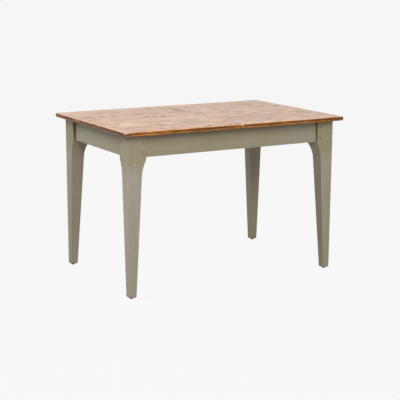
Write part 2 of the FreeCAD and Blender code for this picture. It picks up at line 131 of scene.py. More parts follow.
class NodeSketch:
    """Short hand for drawing one shader node tree."""

    def __init__(self, tree: Tree) -> None:
        """Starts on an empty or existing tree."""
        self.tree = tree

    def node(self, kind: str, **settings: object) -> bpy.types.Node:
        """Adds a node.

        Args:
            kind: Blender's name of the node type.
            settings: Properties to set on the new node.

        Returns:
            The new node.
        """
        made = self.tree.nodes.new(kind)
        for name, value in settings.items():
            setattr(made, name, value)
        return made

    def feed(self, socket: Socket, value: object) -> None:
        """Links or sets one input.

        Args:
            socket: The input.
            value: A socket to link from, or a number, vector or colour to set.
        """
        if isinstance(value, Socket):
            self.tree.links.new(value, socket)
        elif socket.type == "RGBA":
            socket.default_value = (*value, 1.0)
        else:
            socket.default_value = value

    def math(self, operation: str, *values: Value) -> Socket:
        """Adds a Math node.

        Args:
            operation: Blender's name of the operation.
            values: What it works on.

        Returns:
            The result.
        """
        made = self.node("ShaderNodeMath", operation=operation)
        for socket, value in zip(made.inputs, values):
            self.feed(socket, value)
        return made.outputs[0]

    def folded(self, operation: str, *values: Value) -> Socket:
        """Takes values together, from the first to the last.

        Args:
            operation: Blender's name of the operation on two values.
            values: Any number of values.

        Returns:
            The result.
        """
        result = values[0]
        for value in values[1:]:
            result = self.math(operation, result, value)
        return result

    def total(self, *values: Value) -> Socket:
        """Adds up any number of values."""
        return self.folded("ADD", *values)

    def weighted(self, *pairs: tuple[Value, float]) -> Socket:
        """Adds up values, each times its weight."""
        return self.total(*(self.times(value, weight) for value, weight in pairs))

    def times(self, *values: Value) -> Socket:
        """Multiplies any number of values."""
        return self.folded("MULTIPLY", *values)

    def most(self, *values: Value) -> Socket:
        """Takes the largest of any number of values."""
        return self.folded("MAXIMUM", *values)

    def mask(self, value: Value, start: float, end: float) -> Socket:
        """Smooth step between two limits.

        Args:
            value: What is measured.
            start: Where the mask is 0.
            end: Where the mask is 1, on either side of start.

        Returns:
            The mask.
        """
        made = self.node("ShaderNodeMapRange", interpolation_type="SMOOTHSTEP")
        self.feed(made.inputs["Value"], value)
        made.inputs["From Min"].default_value = start
        made.inputs["From Max"].default_value = end
        return made.outputs["Result"]

    def between(self, value: Value, rise: Band, fall: Band) -> Socket:
        """Mask that rises over one band and falls over another."""
        return self.times(self.mask(value, *rise), self.mask(value, *fall))

    def span(self, value: Value, low: float, high: float) -> Socket:
        """Stretches a value of 0 to 1 over another range."""
        return self.math("MULTIPLY_ADD", value, high - low, low)

    def mix(self, share: Value, first: object, second: object, blend: str = "MIX") -> Socket:
        """Mixes two colours.

        Args:
            share: Share of the second colour.
            first: Colour or socket below.
            second: Colour or socket on top.
            blend: Blend type.

        Returns:
            The mixed colour.
        """
        made = self.node("ShaderNodeMix", data_type="RGBA", blend_type=blend)
        factor, below, above = made.inputs[0], made.inputs[6], made.inputs[7]
        self.feed(factor, share)
        self.feed(below, first)
        self.feed(above, second)
        return made.outputs[2]

    def covered(self, colour: object, coat: object, mask: Value, strength: float) -> Socket:
        """Lays a coat over a colour.

        Args:
            colour: Colour or socket below.
            coat: Colour or socket on top.
            mask: Where the coat lies.
            strength: How much it hides there.

        Returns:
            The colour.
        """
        return self.mix(self.times(mask, strength), colour, coat)

    def tinted(self, colour: object, tint: object, share: Value = 1.0) -> Socket:
        """Multiplies a colour by a share of a tint."""
        return self.mix(share, colour, tint, "MULTIPLY")

    def ramp(self, value: Value, stops: tuple[tuple[float, Colour], ...]) -> Socket:
        """Runs a value through a colour ramp.

        Args:
            value: Place on the ramp.
            stops: Positions and colours, in order.

        Returns:
            The colour.
        """
        made = self.node("ShaderNodeValToRGB")
        elements = made.color_ramp.elements
        while len(elements) < len(stops):
            elements.new(1.0)
        for element, (position, colour) in zip(elements, stops):
            element.position = position
            element.color = (*colour, 1.0)
        self.feed(made.inputs[0], value)
        return made.outputs[0]

    def place(self) -> Socket:
        """Object coordinates, in metres."""
        return self.node("ShaderNodeTexCoord").outputs["Object"]

    def parts(self, vector: Socket) -> list[Socket]:
        """Takes a vector apart.

        Args:
            vector: The vector.

        Returns:
            Its three numbers.
        """
        made = self.node("ShaderNodeSeparateXYZ")
        self.feed(made.inputs[0], vector)
        return list(made.outputs)

    def vector(self, *values: Value) -> Socket:
        """Puts a vector together.

        Args:
            values: Its three numbers.

        Returns:
            The vector.
        """
        made = self.node("ShaderNodeCombineXYZ")
        for socket, value in zip(made.inputs, values):
            self.feed(socket, value)
        return made.outputs[0]

    def noise(self, vector: Socket, scale: float, detail: float = 2.0, rough: float = 0.5) -> Socket:
        """Noise from 0 to 1.

        Args:
            vector: Where it is read.
            scale: Features per metre.
            detail: Octaves.
            rough: Strength of the finer octaves.

        Returns:
            The value.
        """
        made = self.node("ShaderNodeTexNoise")
        self.feed(made.inputs["Vector"], vector)
        made.inputs["Scale"].default_value = scale
        made.inputs["Detail"].default_value = detail
        made.inputs["Roughness"].default_value = rough
        return made.outputs[0]

    def stretched(self, vector: Socket, scale: tuple[float, ...]) -> Socket:
        """Scales a vector along each axis.

        Args:
            vector: The vector.
            scale: Three numbers.

        Returns:
            The scaled vector.
        """
        made = self.node("ShaderNodeMapping")
        self.feed(made.inputs["Vector"], vector)
        made.inputs["Scale"].default_value = scale
        return made.outputs[0]

    def drawn_out(self, vector: Socket, axis: Axis, along: float, across: float) -> Socket:
        """Scales a vector by one number along an axis and by another across it.

        Args:
            vector: The vector.
            axis: The axis.
            along: Scale along it.
            across: Scale across it.

        Returns:
            The scaled vector.
        """
        return self.stretched(vector, tuple(along if one is axis else across for one in Axis))

    def random(self, seed: Value) -> list[Socket]:
        """Draws random numbers.

        Args:
            seed: What they depend on.

        Returns:
            Three numbers from 0 to 1.
        """
        made = self.node("ShaderNodeTexWhiteNoise", noise_dimensions="1D")
        self.feed(made.inputs["W"], seed)
        return self.parts(made.outputs["Color"])

    def painted(self, name: str) -> Socket:
        """A number painted on the piece's vertices."""
        made = self.node("ShaderNodeAttribute", attribute_type="GEOMETRY", attribute_name=name)
        return made.outputs["Fac"]

    def group(self, tree: Tree, **values: object) -> bpy.types.Node:
        """Places a node group.

        Args:
            tree: The group.
            values: Its inputs, with underscores for spaces in their names.

        Returns:
            The group node.
        """
        made = self.node("ShaderNodeGroup", node_tree=tree)
        for name, value in values.items():
            self.feed(made.inputs[name.replace("_", " ").capitalize()], value)
        return made

    def bump(self, height: Socket, strength: float, depth: float) -> Socket:
        """A bumped normal.

        Args:
            height: Height from 0 to 1.
            strength: How much of it shows.
            depth: Its full depth in metres.

        Returns:
            The normal.
        """
        made = self.node("ShaderNodeBump")
        made.inputs["Strength"].default_value = strength
        made.inputs["Distance"].default_value = depth
        self.feed(made.inputs["Height"], height)
        return made.outputs["Normal"]


class EffectGroup(NodeSketch):
    """A shader node group with named inputs and outputs, built once and shared by the finishes."""

    def __init__(self, name: str, inputs: tuple[str, ...], outputs: tuple[str, ...]) -> None:
        """Makes the group.

        Args:
            name: The group's name.
            inputs: Names of its numbers.
            outputs: Names of its results.
        """
        super().__init__(bpy.data.node_groups.new(name, "ShaderNodeTree"))
        for word in inputs:
            kind = "NodeSocketVector" if word == "Place" else "NodeSocketFloat"
            self.tree.interface.new_socket(name=word, in_out="INPUT", socket_type=kind)
        for word in outputs:
            self.tree.interface.new_socket(name=word, in_out="OUTPUT", socket_type="NodeSocketFloat")
        self.given = list(self.node("NodeGroupInput").outputs)[:len(inputs)]
        self.results = self.node("NodeGroupOutput").inputs

    def give(self, name: str, value: Socket) -> None:
        """Sends a value to one of the group's outputs."""
        self.feed(self.results[name], value)


def board_figure() -> Tree:
    """Grain of a flat-sawn pine board: growth rings about a pith that lies under the board.

    Returns:
        Group with Growth, Fibre and Streak, each from 0 to 1.
    """
    ring_spacing = 0.0034
    seed_shift = 9.0
    pith_reach = 0.10
    pith_depths = (0.03, 0.075)
    lean_reach = 0.035
    sway_sideways, sway_deep = 0.030, 0.015
    uneven_depth = 0.005
    group = EffectGroup("board_figure", ("Along", "Across", "Through", "Seed", "Bend"),
                        ("Growth", "Fibre", "Streak"))
    along, across, through, seed, bend = group.given
    first, second, third = group.random(seed)
    run = group.math("MULTIPLY_ADD", first, seed_shift, along)
    slow = group.noise(group.vector(group.times(run, 1.6), across, seed), scale=2.2, detail=1.0)
    sway = group.math("SUBTRACT", slow, 0.5)
    pith = group.span(second, -pith_reach, pith_reach)
    lean = group.times(group.span(third, -lean_reach, lean_reach), along)
    sideways = group.total(across, pith, group.times(sway, sway_sideways))
    depth = group.total(group.span(third, *pith_depths), lean, through, group.times(sway, sway_deep))
    squares = group.total(group.math("POWER", sideways, 2.0), group.math("POWER", depth, 2.0))
    lumpy = group.vector(group.times(run, 9.0), group.times(across, 46.0), seed)
    uneven = group.times(group.noise(lumpy, scale=1.0), uneven_depth)
    radius = group.total(group.math("SQRT", squares), bend, uneven)
    ring = group.math("FRACT", group.math("DIVIDE", radius, ring_spacing))
    group.give("Growth", group.between(ring, (0.25, 0.90), (1.0, 0.93)))
    fine = group.vector(group.times(run, 14.0), group.times(across, 520.0), group.times(through, 520.0))
    group.give("Fibre", group.noise(fine, scale=1.0, detail=3.0, rough=0.6))
    broad = group.vector(group.times(run, 2.4), group.times(across, 34.0), seed)
    group.give("Streak", group.noise(broad, scale=1.0, detail=3.0, rough=0.55))
    return group.tree


def grain_mark() -> Tree:
    """One knot or bruise, longer along the grain than across it.

    Returns:
        Group with Mask, its whole face, Outline, its darkest parts, and Near, the wood that bends round it.
    """
    raggedness = 0.25
    group = EffectGroup("grain_mark", ("Along", "Across", "Middle along", "Middle across", "Length", "Width"),
                        ("Mask", "Outline", "Near"))
    along, across, middle_along, middle_across, length, width = group.given
    ragged = group.noise(group.vector(along, across, 0.0), scale=130.0)
    run = group.math("DIVIDE", group.math("SUBTRACT", along, middle_along), length)
    side = group.math("DIVIDE", group.math("SUBTRACT", across, middle_across), width)
    squares = group.total(group.math("POWER", run, 2.0), group.math("POWER", side, 2.0))
    reach = group.total(group.math("SQRT", squares), group.span(ragged, -raggedness, raggedness))
    group.give("Mask", group.mask(reach, 0.80, 0.40))
    bark = group.between(reach, (0.42, 0.58), (0.82, 0.66))
    group.give("Outline", group.most(bark, group.mask(reach, 0.24, 0.06)))
    group.give("Near", group.mask(reach, 1.7, 0.3))
    return group.tree


def flecks() -> Tree:
    """Small scattered spots, as many as a share of the cells that they sit in.

    Returns:
        Group with Mask.
    """
    raggedness, softness, finer = 0.09, 0.06, 7.0
    group = EffectGroup("flecks", ("Place", "Cells", "Share", "Radius"), ("Mask",))
    place, cells, share, radius = group.given
    spots = group.node("ShaderNodeTexVoronoi")
    group.feed(spots.inputs["Vector"], place)
    group.feed(spots.inputs["Scale"], cells)
    draw, size, _ = group.parts(spots.outputs["Color"])
    chosen = group.math("LESS_THAN", draw, share)
    inside = group.math("SUBTRACT", group.times(size, radius), spots.outputs["Distance"])
    ragged = group.node("ShaderNodeTexNoise")
    group.feed(ragged.inputs["Vector"], place)
    group.feed(ragged.inputs["Scale"], group.times(cells, finer))
    inside = group.total(inside, group.span(ragged.outputs[0], -raggedness, raggedness))
    group.give("Mask", group.times(chosen, group.mask(inside, 0.0, softness)))
    return group.tree


def rubbed_edge() -> Tree:
    """Wear that eats in unevenly from an edge.

    Returns:
        Group with Mask.
    """
    edge_pull, patch_pull, fine_pull = 0.62, 0.5, 0.16
    group = EffectGroup("rubbed_edge", ("Place", "Edge", "Amount"), ("Mask",))
    place, edge, amount = group.given
    patchy = group.noise(place, scale=26.0, detail=3.0, rough=0.65)
    fine = group.noise(place, scale=190.0)
    bite = group.total(group.times(edge, edge_pull), group.span(patchy, -patch_pull, patch_pull),
                       group.span(fine, -fine_pull, fine_pull), amount)
    group.give("Mask", group.times(group.mask(bite, 0.52, 0.66), group.mask(edge, 0.02, 0.3)))
    return group.tree


def mottle() -> Tree:
    """Soft clouds of tone, with a finer grit in them.

    Returns:
        Group with Cloud and Grit, each from 0 to 1.
    """
    group = EffectGroup("mottle", ("Place", "Scale"), ("Cloud", "Grit"))
    place, scale = group.given
    cloud = group.node("ShaderNodeTexNoise")
    group.feed(cloud.inputs["Vector"], place)
    group.feed(cloud.inputs["Scale"], scale)
    cloud.inputs["Detail"].default_value = 4.0
    group.give("Cloud", group.mask(cloud.outputs[0], 0.3, 0.7))
    group.give("Grit", group.noise(place, scale=420.0))
    return group.tree


@dataclass(frozen=True)
class Effects:
    """The node groups that the materials share."""

    figure: Tree
    mark: Tree
    flecks: Tree
    rubbed: Tree
    mottle: Tree

    @classmethod
    def build(cls) -> "Effects":
        """Builds every group once."""
        return cls(board_figure(), grain_mark(), flecks(), rubbed_edge(), mottle())


class Drawing:
    """A material being drawn: its node tree, its shader, its coordinates and the shared effects."""

    def __init__(self, name: str, effects: Effects) -> None:
        """Starts an empty material.

        Args:
            name: The material's name.
            effects: The shared node groups.
        """
        self.effects = effects
        self.material = bpy.data.materials.new(name)
        self.material.use_nodes = True
        self.sketch = NodeSketch(self.material.node_tree)
        self.shader = self.material.node_tree.nodes["Principled BSDF"]
        self.place = self.sketch.place()

    def set(self, **values: object) -> None:
        """Sets or links inputs of the shader, with underscores for spaces in their names."""
        for name, value in values.items():
            self.sketch.feed(self.shader.inputs[name.replace("_", " ")], value)

    def grain_places(self, grain: Axis) -> list[Socket]:
        """Object coordinates along, across and through the grain."""
        numbers = self.sketch.parts(self.place)
        return [numbers[n] for n in grain.order()]

    def clouds(self, scale: float) -> Outputs:
        """Outputs of the mottle group, read at the object's coordinates."""
        return self.sketch.group(self.effects.mottle, place=self.place, scale=scale).outputs


@dataclass(frozen=True)
class Finish:
    """A finish that can be drawn as a material, each kind in its own way."""

    name: str

    def material(self, effects: Effects) -> Material:
        """Draws the material.

        Args:
            effects: The shared node groups.

        Returns:
            The material.
        """
        drawing = Drawing(self.name, effects)
        self.draw(drawing)
        return drawing.material

    def draw(self, drawing: Drawing) -> None:
        """Draws the nodes, which each kind of finish does in its own way."""
        raise NotImplementedError(f"{drawing.material.name} can't be drawn")


@dataclass(frozen=True)
class GrainMark:
    """A knot, scuff or stain in the top: its middle and its reach along and across the grain."""

    along: float
    across: float
    length: float
    width: float


# Knots and bruises.
TOP_MARKS = (
    GrainMark(-0.531, 0.150, 0.050, 0.020),
    GrainMark(-0.456, 0.160, 0.014, 0.018),
    GrainMark(-0.385, 0.167, 0.016, 0.020),
    GrainMark(-0.252, 0.152, 0.040, 0.018),
    GrainMark(-0.265, 0.042, 0.022, 0.020),
    GrainMark(-0.225, 0.034, 0.016, 0.018),
    GrainMark(-0.183, 0.023, 0.024, 0.020),
    GrainMark(-0.184, -0.212, 0.080, 0.013),
    GrainMark(-0.328, -0.246, 0.036, 0.014),
    GrainMark(-0.552, -0.203, 0.030, 0.012),
    GrainMark(-0.109, 0.327, 0.016, 0.022),
    GrainMark(0.030, 0.054, 0.030, 0.018),
    GrainMark(-0.520, -0.352, 0.018, 0.014),
    GrainMark(0.341, 0.244, 0.017, 0.024),
    GrainMark(0.430, 0.212, 0.013, 0.020),
    GrainMark(0.536, 0.113, 0.022, 0.026),
    GrainMark(0.158, 0.048, 0.018, 0.022),
    GrainMark(0.274, -0.080, 0.045, 0.014),
    GrainMark(0.217, -0.298, 0.018, 0.020),
    GrainMark(-0.147, -0.358, 0.017, 0.016),
)

# Scuffs that show bleached wood.
PALE_MARKS = (
    GrainMark(0.007, -0.395, 0.012, 0.010),
    GrainMark(-0.272, 0.210, 0.016, 0.020),
    GrainMark(-0.235, 0.196, 0.012, 0.016),
    GrainMark(-0.470, -0.150, 0.060, 0.040),
    GrainMark(-0.582, -0.388, 0.026, 0.014),
    GrainMark(0.120, 0.150, 0.050, 0.030),
)

# Yellowed stretches by the near edge and the left end.
HONEY_MARKS = (
    GrainMark(-0.480, -0.370, 0.420, 0.140),
    GrainMark(-0.590, -0.050, 0.090, 0.600),
)

# Stretches of the rim where its dark line is strongest.
RIM_MARKS = (
    GrainMark(-0.165, -0.400, 0.210, 0.060),
    GrainMark(-0.335, -0.400, 0.030, 0.060),
    GrainMark(0.305, -0.400, 0.065, 0.060),
    GrainMark(0.540, -0.400, 0.170, 0.060),
    GrainMark(-0.600, -0.270, 0.060, 0.190),
    GrainMark(-0.600, 0.230, 0.060, 0.110),
)


@dataclass(frozen=True)
class PlankFinish(Finish):
    """Old waxed pine boards: warm grain, knots, bleached patches, a rubbed arris and a dark rim, with painted
    light and shade on the rim.

    A band is where something starts and where it is full. Heights are measured from the underside, and the
    bands of the seam and the rim along the table's own axes.
    """

    grain: Axis
    board_pitch: float
    first_joint: float
    underside: float
    seed: float
    marks: tuple[GrainMark, ...] = ()
    pale_marks: tuple[GrainMark, ...] = ()
    honey_marks: tuple[GrainMark, ...] = ()
    rim_marks: tuple[GrainMark, ...] = ()
    pale: Colour = (0.690, 0.437, 0.255)
    warm: Colour = (0.500, 0.270, 0.130)
    rosy: Colour = (0.650, 0.380, 0.245)
    bleached: Colour = (0.790, 0.610, 0.440)
    growth_tint: Colour = (0.680, 0.530, 0.420)
    knot: Colour = (0.215, 0.095, 0.044)
    knot_bark: Colour = (0.070, 0.030, 0.015)
    speck: Colour = (0.085, 0.042, 0.024)
    # Dark brown of the soiling in the joints and the seam, also used for painted shade at the rim's lowest
    # edge.
    joint_dirt_and_shade: Colour = (0.095, 0.052, 0.028)
    side_light: Colour = (0.435, 0.140, 0.008)
    side_dark: Colour = (0.135, 0.034, 0.002)
    # Paler rim colours of the lower rounding: painted light from the floor.
    side_floor_lit: Colour = (0.670, 0.310, 0.075)
    # Painted highlight along the top of the rim.
    side_arris_highlight: Colour = (0.800, 0.440, 0.150)
    end_light: Colour = (0.390, 0.175, 0.080)
    end_dark: Colour = (0.098, 0.038, 0.017)
    end_floor_lit: Colour = (0.390, 0.250, 0.150)
    honey: Colour = (0.980, 0.860, 0.730)
    dusty: Colour = (0.430, 0.310, 0.200)
    knot_bend: float = 0.010
    rim_start: float = 0.33
    rim_full: float = 0.17
    arris_reach: float = 0.80
    scuff_height: Band = (0.008, 0.016)
    rub_height: Band = (0.007, 0.013)
    # Heights of the rim's lower rounding, which takes the painted floor light.
    low_height: Band = (0.0090, 0.0055)
    line_bottom: Band = (0.0075, 0.0115)
    line_top: Band = (0.0180, 0.0155)
    # Heights of the painted highlight along the top of the rim.
    arris_highlight_height: Band = (0.0160, 0.0185)
    # Heights of the rim's lowest edge, darkened by painted shade with waxy soiling.
    dirty_shade_height: Band = (0.0024, 0.0008)
    dusty_height: Band = (0.0012, 0.0004)
    seam_front: Band = (-0.31, -0.345)
    seam_back: tuple[Band, Band] = ((0.02, 0.14), (0.37, 0.27))
    seam_packed: tuple[Band, Band] = ((0.13, 0.18), (0.33, 0.28))
    seam_least: float = 0.18
    near_corner: Band = (-0.22, -0.34)
    back_edge: Band = (0.28, 0.37)
    right_hand: Band = (0.36, 0.50)

    def draw(self, drawing: Drawing) -> None:
        """Draws the nodes.

        Args:
            drawing: The material being drawn.
        """
        sketch, place, effects = drawing.sketch, drawing.place, drawing.effects
        along, across, through = drawing.grain_places(self.grain)
        step = sketch.math("DIVIDE", sketch.math("SUBTRACT", across, self.first_joint), self.board_pitch)
        half = sketch.times(sketch.math("GREATER_THAN", along, 0.0), float(BOARD_COUNT))
        seed = sketch.total(sketch.math("FLOOR", step), half, self.seed)
        inside = sketch.math("SUBTRACT", sketch.math("FRACT", step), 0.5)
        mark, bark, near = self.gathered(drawing, along, across, self.marks)
        scuffs, _, _ = self.gathered(drawing, along, across, self.pale_marks)
        yellowed, _, _ = self.gathered(drawing, along, across, self.honey_marks)
        stretches, _, _ = self.gathered(drawing, along, across, self.rim_marks)
        figure = sketch.group(effects.figure, along=along, through=through, seed=seed,
                              across=sketch.times(inside, self.board_pitch),
                              bend=sketch.times(near, self.knot_bend)).outputs
        long_clouds = sketch.drawn_out(place, self.grain, along=1.0, across=2.2)
        clouds = sketch.group(effects.mottle, place=long_clouds, scale=7.0).outputs
        colour = self.wood(sketch, figure, sketch.random(sketch.times(seed, 3.7)), clouds)
        ripple = sketch.noise(sketch.drawn_out(place, self.grain, along=13.0, across=44.0), scale=1.0)
        handled = sketch.ramp(ripple, ((0.30, (0.95, 0.88, 0.80)), (0.70, (1.06, 1.13, 1.22))))
        colour = sketch.tinted(colour, handled)
        colour = sketch.tinted(colour, self.honey, yellowed)
        dashes = self.dashes(drawing)
        colour = sketch.covered(colour, self.speck, dashes, strength=0.72)
        colour = sketch.covered(colour, self.warm, near, strength=0.45)
        colour = sketch.covered(colour, self.knot, mark, strength=0.90)
        colour = sketch.covered(colour, self.knot_bark, bark, strength=0.85)
        in_joint = sketch.times(sketch.painted("joint"), sketch.span(clouds["Cloud"], 0.25, 0.95))
        in_seam = sketch.times(sketch.painted("seam"), self.seam_dirt(sketch, across))
        darkening = sketch.math("SUBTRACT", sketch.most(in_joint, in_seam), scuffs)
        colour = sketch.mix(darkening, colour, self.joint_dirt_and_shade)
        rim = sketch.mask(sketch.painted("from_rim"), self.rim_start, self.rim_full)
        colour = self.edged(sketch, colour, place, through, rim, stretches)
        scuffs = sketch.times(scuffs, self.raised(sketch, through, self.scuff_height))
        colour = sketch.covered(colour, self.bleached, scuffs, strength=0.65)
        below = self.raised(sketch, through, self.dusty_height)
        colour = sketch.covered(colour, self.dusty, below, strength=0.8)
        height = sketch.weighted((figure["Growth"], -0.30), (figure["Fibre"], 0.45), (dashes, -0.5),
                                 (mark, -0.3), (ripple, 0.9))
        dull = sketch.total(sketch.weighted((clouds["Cloud"], 0.12), (dashes, 0.25), (figure["Fibre"], 0.14)),
                            sketch.span(rim, 0.30, 0.75))
        waxed = sketch.times(sketch.span(rim, 1.0, 0.0), sketch.span(dashes, 1.0, 0.1))
        coat = sketch.times(waxed, sketch.span(sketch.mask(ripple, 0.30, 0.70), 0.06, 0.54))
        drawing.set(Base_Color=colour, Roughness=dull, Coat_Weight=coat, Coat_Roughness=0.30,
                    Normal=sketch.bump(height, strength=0.32, depth=0.0007))

    def raised(self, sketch: NodeSketch, height: Socket, band: Band) -> Socket:
        """Mask over a band of heights above the underside."""
        return sketch.mask(height, self.underside + band[0], self.underside + band[1])

    def seam_dirt(self, sketch: NodeSketch, across: Socket) -> Socket:
        """How much dirt lies in the seam: most in its back half, some at the front edge.

        Args:
            sketch: The material's tree.
            across: Place across the grain.

        Returns:
            The share, above 1 where the dirt spreads.
        """
        front = sketch.mask(across, *self.seam_front)
        back = sketch.between(across, *self.seam_back)
        packed = sketch.between(across, *self.seam_packed)
        return sketch.total(sketch.weighted((front, 1.8), (back, 0.75), (packed, 2.4)), self.seam_least)

    def gathered(self, drawing: Drawing, along: Socket, across: Socket,
                 marks: tuple[GrainMark, ...]) -> tuple[Value, Value, Value]:
        """Gathers placed knots, bruises or scuffs.

        Args:
            drawing: The material being drawn.
            along: Place along the grain.
            across: Place across the grain.
            marks: Where they are.

        Returns:
            Their faces, their darkest parts, and the wood near them.
        """
        sketch = drawing.sketch
        mask: Value = 0.0
        outline: Value = 0.0
        near: Value = 0.0
        for one in marks:
            spot = sketch.group(drawing.effects.mark, along=along, across=across, middle_along=one.along,
                                middle_across=one.across, length=one.length, width=one.width).outputs
            mask = sketch.most(mask, spot["Mask"])
            outline = sketch.most(outline, spot["Outline"])
            near = sketch.most(near, spot["Near"])
        return mask, outline, near

    def dashes(self, drawing: Drawing) -> Socket:
        """Dark dashes along the grain, long ones and short ones.

        Args:
            drawing: The material being drawn.

        Returns:
            The mask.
        """
        sketch, flecks_group = drawing.sketch, drawing.effects.flecks
        long_way = sketch.drawn_out(drawing.place, self.grain, along=0.24, across=1.0)
        short_way = sketch.drawn_out(drawing.place, self.grain, along=0.5, across=1.0)
        long_ones = sketch.group(flecks_group, place=long_way, cells=21.0, share=0.34, radius=0.21)
        short_ones = sketch.group(flecks_group, place=short_way, cells=34.0, share=0.20, radius=0.26)
        return sketch.most(long_ones.outputs["Mask"], short_ones.outputs["Mask"])

    def wood(self, sketch: NodeSketch, figure: Outputs, tone: list[Socket], clouds: Outputs) -> Socket:
        """Colour of the boards' faces.

        Args:
            sketch: The material's tree.
            figure: Outputs of the grain group.
            tone: Three random numbers of the board.
            clouds: Outputs of the mottle group.

        Returns:
            The colour.
        """
        colour = sketch.mix(sketch.span(tone[0], 0.0, 0.6), self.pale, self.warm)
        colour = sketch.mix(sketch.span(tone[1], 0.0, 0.6), colour, self.rosy)
        colour = sketch.mix(sketch.mask(figure["Streak"], 0.50, 0.70), colour, self.warm)
        pale_streaks = sketch.mask(figure["Streak"], 0.46, 0.28)
        colour = sketch.covered(colour, self.bleached, pale_streaks, strength=0.8)
        growth = sketch.mix(figure["Growth"], (1.0, 1.0, 1.0), self.growth_tint)
        colour = sketch.tinted(colour, growth, share=0.95)
        fibre = sketch.ramp(figure["Fibre"], ((0.25, (0.86, 0.79, 0.72)), (0.75, (1.08, 1.12, 1.18))))
        colour = sketch.tinted(colour, fibre)
        return sketch.covered(colour, self.bleached, clouds["Cloud"], strength=0.22)

    def edged(self, sketch: NodeSketch, face: Socket, place: Socket, height: Socket, rim: Socket,
              stretches: Value) -> Socket:
        """Adds the rubbed arris and the waxed rim: a dark line over a paler lower band, browner at the ends.
        The lower band is painted light from the floor, the pale line along the top of the rim a painted
        highlight, and the darkened lowest edge painted shade with waxy soiling.

        Args:
            sketch: The material's tree.
            face: Colour of the flat face.
            place: Object coordinates.
            height: Height above the floor.
            rim: Where the rim is.
            stretches: Where the rim's dark line is strongest.

        Returns:
            The colour.
        """
        from_right, from_front, _ = sketch.parts(place)
        end = sketch.painted("end")
        patches = sketch.noise(sketch.stretched(place, (1.0, 1.0, 4.0)), scale=11.0, detail=5.0, rough=0.8)
        bare_corner = sketch.times(end, sketch.mask(from_front, *self.near_corner))
        bare = sketch.times(sketch.most(sketch.mask(patches, 0.58, 0.42), bare_corner),
                            self.raised(sketch, height, self.rub_height),
                            sketch.span(sketch.mask(from_front, *self.back_edge), 1.0, 0.15))
        arris_mask = sketch.mask(sketch.painted("from_rim"), self.arris_reach, self.rim_start)
        colour = sketch.covered(face, self.bleached, sketch.times(arris_mask, bare), strength=0.8)
        light = sketch.mix(end, self.side_light, self.end_light)
        dark = sketch.mix(end, self.side_dark, self.end_dark)
        # Paler lower band of the rim: painted light from the floor, weaker towards the right end and in the
        # blotches.
        worn = sketch.mix(end, self.side_floor_lit, self.end_floor_lit)
        to_right = sketch.mask(from_right, *self.right_hand)
        blotch = sketch.mask(patches, 0.46, 0.56)
        lower = self.raised(sketch, height, self.low_height)
        line = sketch.times(self.raised(sketch, height, self.line_bottom),
                            self.raised(sketch, height, self.line_top))
        waxed = sketch.mix(sketch.times(blotch, sketch.span(lower, 0.8, 0.2)), light, dark)
        streaked = sketch.span(sketch.most(blotch, stretches), 0.30, 0.95)
        waxed = sketch.mix(sketch.times(line, streaked), waxed, dark)
        floor_lit_share = sketch.span(sketch.most(to_right, blotch), 0.85, 0.20)
        waxed = sketch.mix(sketch.times(lower, floor_lit_share), waxed, worn)
        # Pale line along the top of the rim: a painted highlight, weaker towards the right end and on the
        # ends.
        kept_arris_highlight = sketch.times(sketch.span(to_right, 0.65, 0.12), sketch.span(end, 1.0, 0.30))
        arris = sketch.times(self.raised(sketch, height, self.arris_highlight_height), kept_arris_highlight)
        waxed = sketch.mix(arris, waxed, self.side_arris_highlight)
        bits = sketch.noise(sketch.stretched(place, (1.0, 1.0, 1.5)), scale=130.0)
        chipped = sketch.ramp(bits, ((0.36, (0.55, 0.50, 0.46)), (0.50, (0.97, 0.97, 0.97)),
                                     (0.64, (1.3, 1.3, 1.3))))
        waxed = sketch.tinted(waxed, chipped)
        # Lowest edge of the rim darkened: painted shade on the downward rounding, with waxy soiling.
        dirty_shade = self.raised(sketch, height, self.dirty_shade_height)
        waxed = sketch.covered(waxed, self.joint_dirt_and_shade, dirty_shade, strength=0.80)
        return sketch.mix(rim, colour, waxed)


# Rust-brown stains on the legs round and under the pegs.
PEG_STAINS = (
    (-0.485, -0.354, 0.679),
    (-0.484, -0.354, 0.665),
    (-0.485, -0.354, 0.730),
    (-0.484, -0.354, 0.716),
    (0.486, -0.354, 0.728),
    (0.488, -0.354, 0.667),
)

# Chips in the paint of the legs.
PAINT_CHIPS = (
    (-0.537, -0.354, 0.206),
    (-0.553, -0.354, 0.107),
    (-0.527, -0.354, 0.622),
    (-0.538, 0.299, 0.327),
    (0.494, 0.291, 0.478),
    (0.514, 0.305, 0.228),
    (0.485, -0.354, 0.636),
    (0.507, -0.354, 0.594),
)


